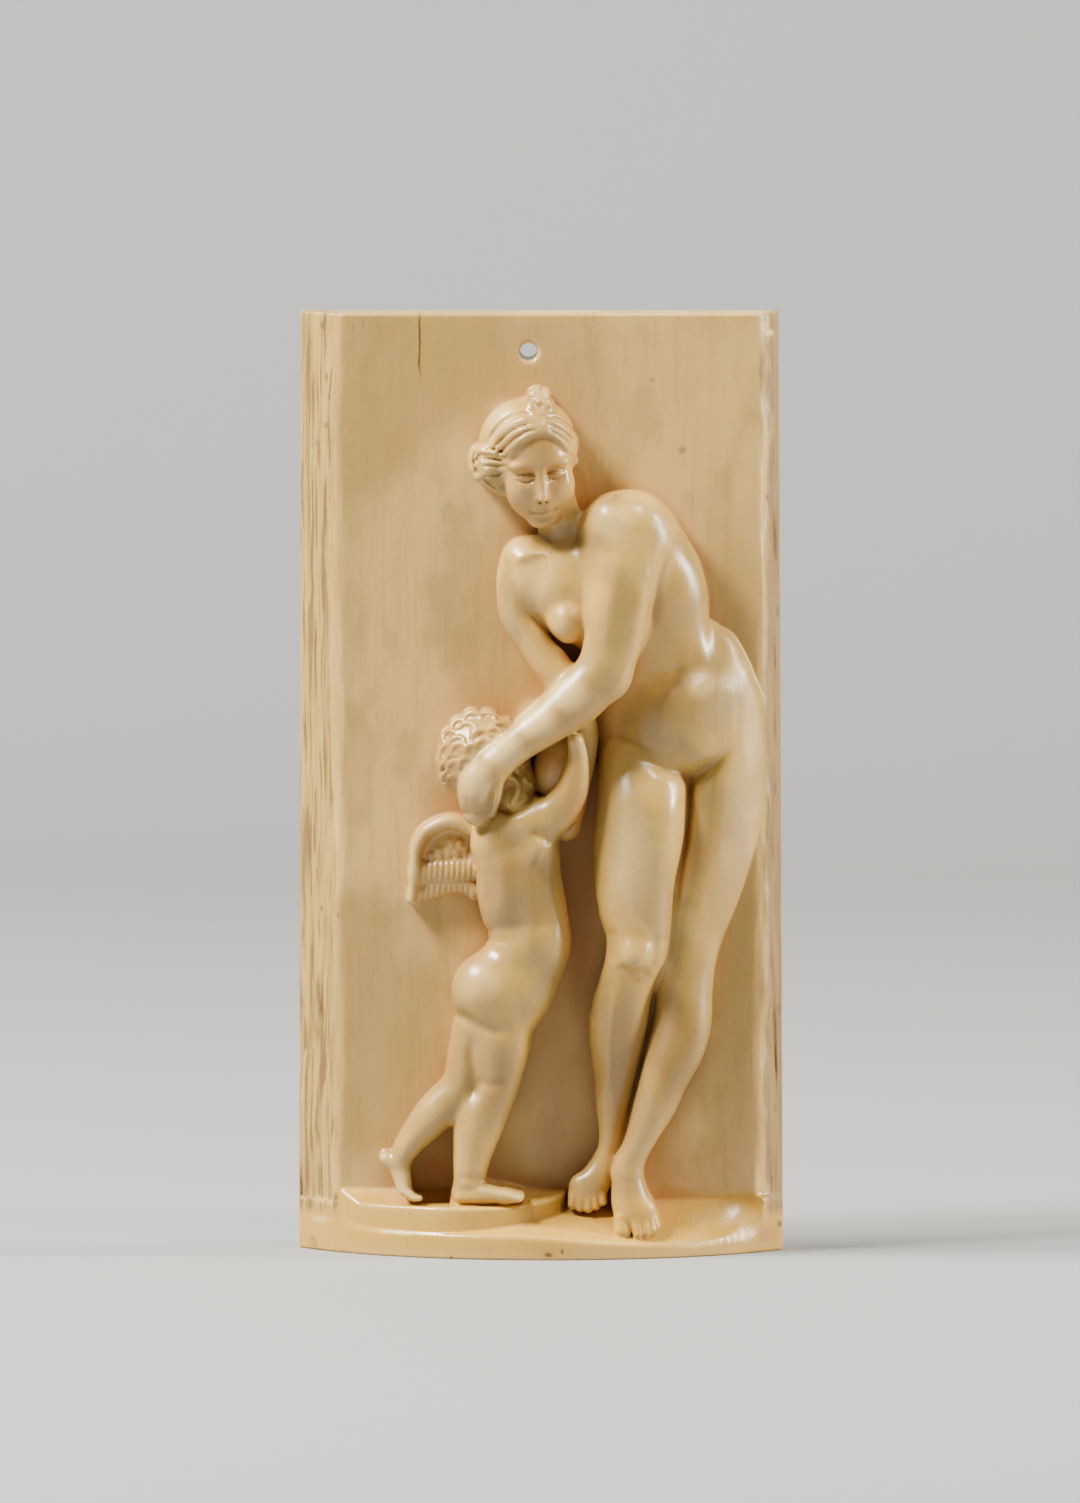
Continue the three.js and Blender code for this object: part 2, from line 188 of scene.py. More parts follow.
def nearestOn(path, cells):      # distance from the curve in the plane, and the place along it
    across = axes[0][cells[0]][:, None]
    up = axes[1][cells[1]][None, :]
    nearest = np.full((across.shape[0], up.shape[1]), 1e9)
    place = np.zeros_like(nearest)
    for i in range(len(path) - 1):
        startAcross, startUp = path[i, :2]
        runAcross, runUp = path[i + 1, :2] - path[i, :2]
        length = runAcross ** 2 + runUp ** 2 + 1e-9
        along = ((across - startAcross) * runAcross + (up - startUp) * runUp) / length
        along = np.clip(along, 0, 1)
        gap = (across - startAcross - along * runAcross) ** 2 + (up - startUp - along * runUp) ** 2
        closer = gap < nearest
        nearest[closer] = gap[closer]
        place[closer] = i + along[closer]
    return np.sqrt(nearest), place / (len(path) - 1)

# How far a place lies from an oval or a ball, given its offsets and the half sizes of the form
def roundDistance(offsets, halves):
    reach = np.sqrt(sum((offset / half) ** 2 for offset, half in zip(offsets, halves)))
    slope = np.sqrt(sum((offset / half ** 2) ** 2 for offset, half in zip(offsets, halves)))
    return (reach - 1) * reach / slope

# A limb follows its stations: [across, seen, out, half width, half depth]. Its section is an
# oval in front of the widest line, and is rooted straight back behind it. The softness says
# over how many millimetres a form blends into what is carved so far.
def limb(field, stations, softness=1.0, endSoftness=None):
    path = curveThrough(placed(list(stations.values()) if isinstance(stations, dict) else stations))
    endSoftness = softness if endSoftness is None else endSoftness
    margin = path[:, 3].max() + max(softness, endSoftness) + 1
    low = path[:, 0].min() - margin, path[:, 1].min() - margin, block["root"]
    high = path[:, 0].max() + margin, path[:, 1].max() + margin, (path[:, 2] + path[:, 4]).max() + 3
    cells = window(low, high)
    aside, place = nearestOn(path, cells)
    where = np.linspace(0, 1, len(path))
    front, half, deep = (np.interp(place, where, path[:, i])[:, :, None] for i in (2, 3, 4))
    forward = gridOf(cells)[2] - front
    half = half * (1 - block["undercut"] * np.clip(-forward / half, 0, 1))
    offsets = aside[:, :, None] + block["tiny"], np.maximum(forward, 0)
    shape = roundDistance(offsets, (half, deep))
    soft = (softness + (endSoftness - softness) * place)[:, :, None]
    field[cells] = softJoin(field[cells], shape.astype(np.float32), soft)

# A trunk or leg follows stations given level by level, so its section lies level
def loft(field, stations, softness=1.0):
    path = curveThrough(placed(list(stations.values())))
    path = path[np.argsort(path[:, 1])]
    margin = path[:, 3].max() + softness + 1
    low = path[:, 0].min() - margin, path[0, 1] - 1, block["root"]
    high = path[:, 0].max() + margin, path[-1, 1] + 1, (path[:, 2] + path[:, 4]).max() + 3
    cells = window(low, high)
    x, z, d = gridOf(cells)
    level = z[0, :, 0]
    middle, front, half, deep = (np.interp(level, path[:, 1], path[:, i]) for i in (0, 2, 3, 4))
    drift, swell = (np.gradient(row, block["step"])[None, :, None] for row in (middle, half))
    middle, front, half, deep = (row[None, :, None] for row in (middle, front, half, deep))
    side = np.clip((x - middle) / half, -1, 1)
    forward = d - front
    narrow = half * (1 - block["trunkUndercut"] * np.clip(-forward / half, 0, 1))
    offsets = np.abs(x - middle) + block["tiny"], np.maximum(forward, 0)
    shape = roundDistance(offsets, (narrow, deep))
    shape = shape / np.sqrt(1 + (drift + side * swell) ** 2)
    for end in (z - path[-1, 1], path[0, 1] - z):
        shape = softCut(shape, -end - 0 * shape, block["trunkEnds"])
    field[cells] = softJoin(field[cells], shape.astype(np.float32), softness)

# A rounded mass: [across, seen, out, half width, half height, half depth, turn in degrees]
def mass(field, row, softness=1.0):
    across, seen, front, half, tall, deep, turn = row
    up = heightOf(seen, front)
    margin = softness + 1 + max(half, tall)
    low = across - margin, up - margin, block["root"]
    cells = window(low, (across + margin, up + margin, front + deep + 3))
    x, z, d = gridOf(cells)
    angle = math.radians(turn)
    u = (x - across) * math.cos(angle) + (z - up) * math.sin(angle)
    v = (z - up) * math.cos(angle) - (x - across) * math.sin(angle)
    w = d - front
    narrow = 1 - block["undercut"] * np.clip(-w / min(half, tall), 0, 1)
    offsets = u / narrow + block["tiny"], v / narrow, np.maximum(w, 0)
    shape = roundDistance(offsets, (half, tall, deep)).astype(np.float32)
    field[cells] = softJoin(field[cells], shape, softness)

# A stroke of the knife along [across, seen, out]. A depth below zero raises a ridge.
def stroke(field, points, width, depth, fade=0.25):
    path = curveThrough(placed(points), 0.4)
    margin = 3 * width
    low = path[:, 0].min() - margin, path[:, 1].min() - margin, block["root"]
    high = path[:, 0].max() + margin, path[:, 1].max() + margin, block["high"][2]
    cells = window(low, high)
    aside, place = nearestOn(path, cells)
    strength = depth * np.exp(-(aside / width) ** 2)
    strength *= smoothStep(0, fade, np.minimum(place, 1 - place))
    field[cells] += strength[:, :, None].astype(np.float32)

# The head has its own frame: side, up and forward from the middle of the skull at eye level.
# Balls are [side, up, forward, half width, half height, half depth, softness].
goddessHead = {
    "centre": (-0.7, 147.6, 7.2),      # across, seen, out
    "lookDown": 17,                    # degrees
    "turn": 4,
    "lean": 6,
    "reach": 13,                       # of the space that the head is carved in
    "skull": (0, 3.0, -0.6, 6.5, 7.6, 7.2, 1.0),
    "jaw": (0, -4.5, 1.6, 6.2, 6.1, 5.1, 3),
    "mouthMound": (0, -7.0, 4.5, 2.9, 2.4, 1.9, 2),
    "chin": (0, -9.5, 4.4, 2.5, 1.7, 1.7, 1.6),
    "cheek": (3.5, -3.2, 3.5, 2.2, 2.6, 2.2, 2.5),
    "brow": (2.7, 1.8, 4.9, 2.9, 0.9, 1.3, 1.5),
    "socket": (2.7, 0.1, 7.1, 2.0, 1.3, 1.8, 1.2),
    "eye": (2.75, -0.55, 4.6, 1.75, 1.4, 1.45, 0.5),
    "lids": [(-0.7, 0.4, 0.3), (0.85, -0.4, 0.26)],    # height, rise to the corners, depth
    "lidWidth": 0.24,
    "noseTop": (0, 1.4, 5.4, 0.6),     # side, up, forward, radius
    "noseTip": (0, -4.0, 7.5, 0.9),
    "noseSoftness": 1.3,
    "nostril": (1.0, -4.5, 6.2, 0.62, 0.62, 0.62, 0.5),
    "nostrilHole": (0.55, -0.62, 0.45, 0.28, 0.28, 0.4, 0.25),       # set off from the nostril
    "underLip": (0, -8.75, 6.6, 1.4, 0.5, 0.6, 0.8),
    "lowerLip": (0, -7.85, 6.05, 1.35, 0.62, 0.75, 0.45),
    "upperLip": (0.7, -6.75, 6.1, 1.25, 0.5, 0.65, 0.4),
    "mouthCorner": (2.35, -7.2, 6.2, 0.4, 0.3, 0.4, 0.6),
    "parting": (0.05, 0.12, 2.6, 0.22, 0.25),          # height, wave, its pace, width, depth
}

def headFrame(head):             # window around the head, and its own three directions
    across, seen, out = head["centre"]
    up = heightOf(seen, out)
    reach = head["reach"]
    cells = window((across - reach, up - reach, block["root"]), (across + reach, up + reach, 19))
    x, z, d = gridOf(cells)
    turned = (
        Matrix.Rotation(math.radians(head["lean"]), 3, "Z")
        @ Matrix.Rotation(math.radians(head["turn"]), 3, "Y")
        @ Matrix.Rotation(math.radians(head["lookDown"]), 3, "X")
    )
    offset = x - across, z - up, d - out
    side, upward, forward = (
        sum(offset[row] * turned[row][column] for row in range(3)).astype(np.float32)
        for column in range(3)
    )
    return cells, (side, upward, forward)

def ballIn(space, row):
    u, v, w = (axis - middle for axis, middle in zip(space, row[:3]))
    return roundDistance((u + block["tiny"], v, w), row[3:6])

def addBall(shape, space, row):
    return softJoin(shape, ballIn(space, row), row[6])

def cutBall(shape, space, row):
    return softCut(shape, ballIn(space, row), row[6])

def barIn(space, start, end):    # a tapering bar between two balls
    start, end = np.array(start, dtype=float), np.array(end, dtype=float)
    run = end[:3] - start[:3]
    offset = [axis - middle for axis, middle in zip(space, start[:3])]
    along = np.clip(sum(o * r for o, r in zip(offset, run)) / (run @ run), 0, 1)
    gap = np.sqrt(sum((o - along * r) ** 2 for o, r in zip(offset, run)))
    return gap - (start[3] + (end[3] - start[3]) * along)

def mirrored(row, side):
    return (row[0] * side,) + tuple(row[1:])

def makeHead(field, head):
    cells, space = headFrame(head)
    aside, upward, forward = space
    face = ballIn(space, head["skull"])
    for name in ("jaw", "mouthMound", "chin"):
        face = addBall(face, space, head[name])
    for side in (-1, 1):
        face = addBall(face, space, mirrored(head["cheek"], side))
        face = addBall(face, space, mirrored(head["brow"], side))
        face = cutBall(face, space, mirrored(head["socket"], side))
    face = softJoin(face, barIn(space, head["noseTop"], head["noseTip"]), head["noseSoftness"])
    for side in (-1, 1):
        eye = mirrored(head["eye"], side)
        face = addBall(face, space, eye)
        fromEye, above = (aside - eye[0]) / eye[3], upward - eye[1]
        along = smoothStep(1.25, 0.85, np.abs(fromEye)) * smoothStep(3, 4, forward)
        for middle, rise, depth in head["lids"]:
            line = (above - middle - rise * fromEye ** 2) / head["lidWidth"]
            face = face + depth * along * np.exp(-line ** 2)
        nostril, opening = mirrored(head["nostril"], side), head["nostrilHole"]
        face = addBall(face, space, nostril)
        place = nostril[0] * opening[0], nostril[1] + opening[1], nostril[2] + opening[2]
        face = cutBall(face, space, place + opening[3:])
    face = cutBall(face, space, head["underLip"])
    face = addBall(face, space, head["lowerLip"])
    for side in (-1, 1):
        face = addBall(face, space, mirrored(head["upperLip"], side))
        face = cutBall(face, space, mirrored(head["mouthCorner"], side))
    lift, wave, pace, width, depth = head["parting"]
    parting = (head["upperLip"][1] + head["lowerLip"][1]) / 2 + lift
    line = np.exp(-((upward - parting - wave * np.cos(pace * aside)) / width) ** 2)
    line = line * smoothStep(2.2, 1.5, np.abs(aside))
    face = face + depth * line * smoothStep(4.6, 5.4, forward)
    field[cells] = softJoin(field[cells], face.astype(np.float32), head["skull"][6])

goddess = {                      # stations: [across, seen, out, half width, half depth]
    "trunk": {
        "collar": (12, 136.2, 2, 9, 4.6),
        "shoulders": (10.8, 131, 3, 16, 6),
        "chest": (11, 127, 3.2, 18, 6.4),
        "breast": (12.5, 123, 3.2, 17.8, 6.6),
        "ribs": (15, 119, 3, 15.9, 6.9),
        "lowRibs": (17.8, 115.4, 2.8, 13.8, 6.8),
        "waist": (20.4, 112.6, 2.4, 12.5, 6.6),
        "flank": (22.4, 109.4, 1.8, 13.2, 6.8),
        "crest": (23.2, 106.5, 1.4, 14.6, 7),
        "belly": (24.2, 102, 1.2, 14.5, 6.8),
        "hips": (25, 97, 0.8, 14.6, 6.6),
        "groin": (25.6, 91, 0.4, 14.2, 6),
        "fork": (25.6, 87, 0, 11, 4),
    },
    "neck": {
        "root": (4.6, 130.5, 2.6, 4.8, 3.8),
        "throat": (3.5, 136, 3.4, 4.2, 4.0),
        "nape": (1.8, 142, 5, 4.2, 4.2),
    },
    "nearArm": {
        "shoulder": (16.2, 135.5, 7.8, 6.8, 6),
        "deltoid": (15.6, 129.5, 9.6, 6.3, 5.8),
        "middle": (14.5, 121.5, 11, 5.8, 5),
        "aboveElbow": (13.2, 114.5, 11.8, 5.3, 4.6),
        "elbow": (11.8, 108.5, 12.2, 5, 4.5),
    },
    "nearForearm": {
        "elbow": (11.6, 109, 12, 4.9, 4.6),
        "thick": (6.5, 103.8, 12.6, 4.9, 4.5),
        "middle": (1, 99.4, 13, 4, 4),
        "aboveWrist": (-4, 95.8, 13, 3.4, 3.4),
        "wrist": (-8.5, 91.8, 12.8, 3, 2.8),
    },
    "nearHand": {
        "wrist": (-8.8, 91.6, 12.4, 3.2, 2.8),
        "palm": (-11.7, 88.2, 12.2, 3.6, 3),
        "fingers": (-12.0, 85.4, 11.8, 3.3, 2.8),
        "tips": (-11.7, 83.2, 10.8, 2.8, 2.4),
    },
    "thumb": {
        "root": (-7.6, 89.6, 13, 0.9, 1.6),
        "middle": (-8.2, 86, 12.6, 0.95, 1.7),
        "tip": (-9, 83, 11.6, 0.8, 1.5),
    },
    "farArm": {
        "shoulder": (-2.8, 129.5, 3.4, 4.6, 4.6),
        "deltoid": (-4, 125, 3.8, 4.2, 4.6),
        "middle": (-4, 119.5, 4.4, 3.6, 4),
        "bend": (-0.8, 114, 5, 3.4, 3.8),
        "crossing": (4.5, 106.5, 6, 3.4, 3.6),
        "forearm": (7.6, 98, 6.5, 2.9, 3.2),
        "wrist": (7, 89, 6.5, 2.3, 2.6),
        "hand": (4.6, 80.5, 6.5, 2.8, 2.4),
    },
    "frontLeg": {
        "hip": (19.6, 97, 1.6, 8, 6.2),
        "groin": (19, 92, 3, 8.5, 7.4),
        "top": (18.7, 85, 5.4, 8.3, 8.2),
        "middle": (18.2, 78, 6, 8.45, 7.8),
        "low": (17.5, 70, 6.2, 7.6, 7.2),
        "lower": (17.7, 64, 6.6, 6.9, 6.4),
        "aboveKnee": (18, 60, 7, 6.05, 6),
        "knee": (17.6, 56, 7.2, 5.7, 6),
        "belowKnee": (16.2, 52, 6.8, 5.4, 5.2),
        "highCalf": (14.9, 48, 6.4, 5.5, 5.2),
        "calf": (14.3, 43, 5.8, 5.55, 5.3),
        "midCalf": (14, 38, 5.4, 4.85, 4.9),
        "lowCalf": (13.8, 33, 5, 3.95, 4.2),
        "shin": (13.35, 28, 4.8, 3.05, 3.4),
        "lowShin": (12.9, 23, 4.6, 2.1, 2.6),
        "ankle": (12, 19, 4.4, 1.8, 2.4),
        "heel": (11.6, 16, 4.2, 1.8, 2.2),
    },
    "hip": {
        "loin": (32, 118, -1, 1.4, 3),
        "hipTop": (32.8, 115.6, -1, 3.2, 4.2),
        "hipCrest": (33.5, 112.4, -1, 4.4, 5.2),
        "hipSide": (34, 109, -0.8, 5.4, 6),
        "hipFull": (34, 104, -0.6, 7, 6.4),
        "seat": (34.4, 98, -0.2, 7.4, 6.6),
        "groin": (34.8, 92, 0, 7, 6.8),
    },
    "rearLeg": {
        "seat": (34.4, 98, -1, 7.4, 6),
        "groin": (34.2, 92, 0.2, 7.6, 7.4),
        "top": (33.5, 85, 1, 8.1, 7),
        "middle": (32.4, 78, 1.8, 7.8, 6.6),
        "low": (30.6, 72, 2.6, 7.8, 6.2),
        "lower": (29.2, 66, 3.2, 7.2, 5.8),
        "aboveKnee": (27.6, 60, 3.8, 6.3, 5.2),
        "knee": (26.6, 55, 4.4, 5.8, 5),
        "belowKnee": (26.4, 50, 4.8, 5.4, 5.2),
        "highCalf": (26.2, 45, 5.2, 5.5, 5.4),
        "calf": (25.4, 41, 5.8, 5.7, 5.5),
        "midCalf": (24.2, 37, 6.6, 5.5, 5.3),
        "lowCalf": (22.2, 32, 7.5, 4.7, 4.8),
        "shin": (20.4, 27, 8.4, 4.2, 4.2),
        "lowShin": (18.2, 22, 9.2, 3.15, 3.4),
        "ankle": (16.3, 18, 9.8, 3, 3),
        "heel": (15.9, 15, 9.9, 2.8, 3),
    },
    "shadow": {                  # the ground left high between the two legs
        "top": (22.4, 54, 1.6, 3, 3.4),
        "middle": (19.6, 40, 2.2, 3, 3.4),
        "low": (16.6, 28, 3, 2.6, 3),
        "foot": (14, 19, 3.4, 2, 2.4),
    },
    "frontFoot": {
        "ankle": (16, 15.5, 9.8, 2.9, 3),
        "instep": (16.6, 11.2, 10.2, 3.6, 3.2),
        "ball": (17.4, 8.9, 10.9, 4.0, 2.7),
    },
    "rearFoot": {
        "ankle": (11.9, 18.5, 4.4, 2.2, 2.4),
        "instep": (10.2, 15, 5, 3, 2.6),
        "ball": (8.7, 13.1, 5.2, 3.6, 2.4),
    },
}

# Toes run from the root to the tip, in the goddess's stations. The child's list begins with the
# tip of the trailing foot and the sole of the standing one.
toes = {
    "front": [
        [(15.2, 7.6, 11.6, 1.8, 1.8), (15.1, 5.4, 12.8, 1.6, 1.3)],
        [(17.6, 7.4, 12, 1.1, 1.6), (18, 4.9, 13, 1.0, 1.1)],
        [(19, 7.4, 11.8, 1.0, 1.5), (19.5, 5.2, 12.8, 0.9, 1.0)],
        [(20.1, 7.6, 11.4, 0.9, 1.3), (20.6, 5.7, 12.4, 0.8, 0.9)],
        [(20.9, 8, 10.8, 0.8, 1.2), (21.4, 6.4, 11.8, 0.7, 0.8)],
    ],
    "rear": [
        [(6, 12, 5.4, 1.0, 1.5), (5.9, 10.2, 6.2, 0.95, 1.1)],
        [(7.4, 11.6, 5.8, 1.0, 1.5), (7.3, 9.7, 6.6, 0.9, 1.1)],
        [(8.8, 11.4, 6, 0.95, 1.5), (8.8, 9.5, 6.8, 0.88, 1.1)],
        [(10.1, 11.6, 6, 0.9, 1.4), (10.2, 9.9, 6.6, 0.82, 1.0)],
        [(11.3, 12.2, 5.8, 0.85, 1.4), (11.5, 10.7, 6.4, 0.75, 1.0)],
    ],
    "child": [
        [(-25.2, 12.8, 7.8, 1.1, 2.2), (-23.6, 11.6, 8.6, 0.8, 2.2), (-22.4, 11.4, 9.2, 0.5, 1.8)],
        [(-15, 11.6, 9.2, 1.3, 2.4), (-9.4, 11.8, 10, 1.3, 2.6), (-6, 11.9, 10.4, 1.1, 2.4)],
        [(-6.8, 12.4, 9.6, 0.9, 1.4), (-3.8, 12.2, 9.8, 0.6, 1.1)],
        [(-6.8, 12, 10.6, 0.9, 1.4), (-3.6, 11.8, 11, 0.6, 1.1)],
        [(-7, 11.6, 11.4, 0.9, 1.3), (-4.2, 11.3, 11.8, 0.6, 1.0)],
    ],
}

# Rounded masses: [across, seen, out, half width, half height, half depth, turn in degrees]
goddessMasses = {
    "shoulder": (16.4, 133.4, 5.0, 8.4, 7.6, 7.6, 0),
    "shoulderTop": (12.4, 137.2, 7.4, 3.4, 3.9, 5.2, 0),
    "shoulderBlade": (20.2, 126.6, 2.4, 9.2, 13.2, 8.0, 22),
    "chestFront": (3.4, 124.6, 3.8, 6.8, 7.4, 5.4, 15),
    "breast": (5, 118.4, 7.2, 3.9, 4.1, 4.2, 0),
    "belly": (26.6, 100.6, 2.8, 11.8, 10.7, 8.8, 0),
    "behindArms": (3.2, 91.8, 4.6, 4.6, 7.4, 6.6, -15),
    "kneeCap": (17.2, 56.8, 10.6, 3, 3.2, 3.4, 0),
}

goddessFolds = {                 # [across, seen, out] along the fold, then its width and depth
    "groin": ([(16, 93.6, 9), (19.5, 92.5, 9.5), (25, 90.3, 9), (27.8, 89.5, 8.5), (30, 90.5, 8),
               (32.5, 92.5, 7), (35, 95, 6), (36.8, 98, 5)], 1.2, 0.8),
    "fork": ([(27.7, 91, 8), (27.9, 88.5, 8), (27.6, 84, 7), (27, 78, 7), (25.8, 71, 7),
              (24.6, 62, 8)], 0.5, 0.7),
    "waistHigh": ([(17.5, 109.6, 9), (22, 108.6, 9.5), (27, 109.6, 9)], 0.8, 0.16),
    "waistLow": ([(17.5, 107, 10), (22, 106, 10.5), (26.5, 107, 10)], 0.8, 0.18),
    "collarBone": ([(-6, 129.4, 6), (-2, 130.9, 7.5), (2, 131.4, 8)], 1.0, -0.45),
    "throatPit": ([(-2, 133.6, 7), (2, 133.2, 8), (5.4, 133.4, 8), (8, 135, 8)], 2.4, 0.7),
    "armpit": ([(24.6, 132, 9), (22.4, 129.6, 9), (21.3, 126, 9), (20.8, 121, 9), (20, 116, 9)], 1.0, 0.5),
    "fingerHigh": ([(-13.4, 86.4, 14), (-13.5, 84, 14), (-13, 81.8, 13)], 0.4, 0.12),
    "fingerMiddle": ([(-12, 86.8, 14), (-12, 84, 14), (-11.8, 81.2, 13)], 0.4, 0.12),
    "thumb": ([(-9, 89.4, 14), (-9.3, 86, 14), (-9.7, 82.6, 13)], 0.4, 0.1),
    "fingerLow": ([(-10.6, 86.8, 14), (-10.6, 84, 14), (-10.5, 81.2, 13)], 0.4, 0.12),
    "kneeCap": ([(13.2, 55, 12), (17.2, 52.6, 13), (20.6, 54, 12)], 1.3, 0.6),
    "kneeSide": ([(20.9, 61, 11), (20.8, 57, 12), (19.9, 53, 12)], 1.1, 0.45),
    "kneeInner": ([(13.2, 62, 11), (13.6, 58, 12), (14.2, 54.6, 12)], 1.1, 0.4),
    "shinBone": ([(14.2, 51, 12), (13.2, 45, 11), (12.6, 38, 10), (12.8, 30, 9)], 0.9, -0.45),
    "betweenLegs": ([(21.6, 51, 12), (20.8, 46, 12), (19.7, 41, 12), (18.3, 35, 12), (17, 29, 12),
                     (15.6, 23.5, 11), (14, 19.5, 10)], 0.5, 0.5),
    "farArm": ([(-3, 120.8, 7), (-0.5, 118.3, 7), (2, 115.3, 7), (4.4, 112.6, 7)], 0.9, 0.45),
}

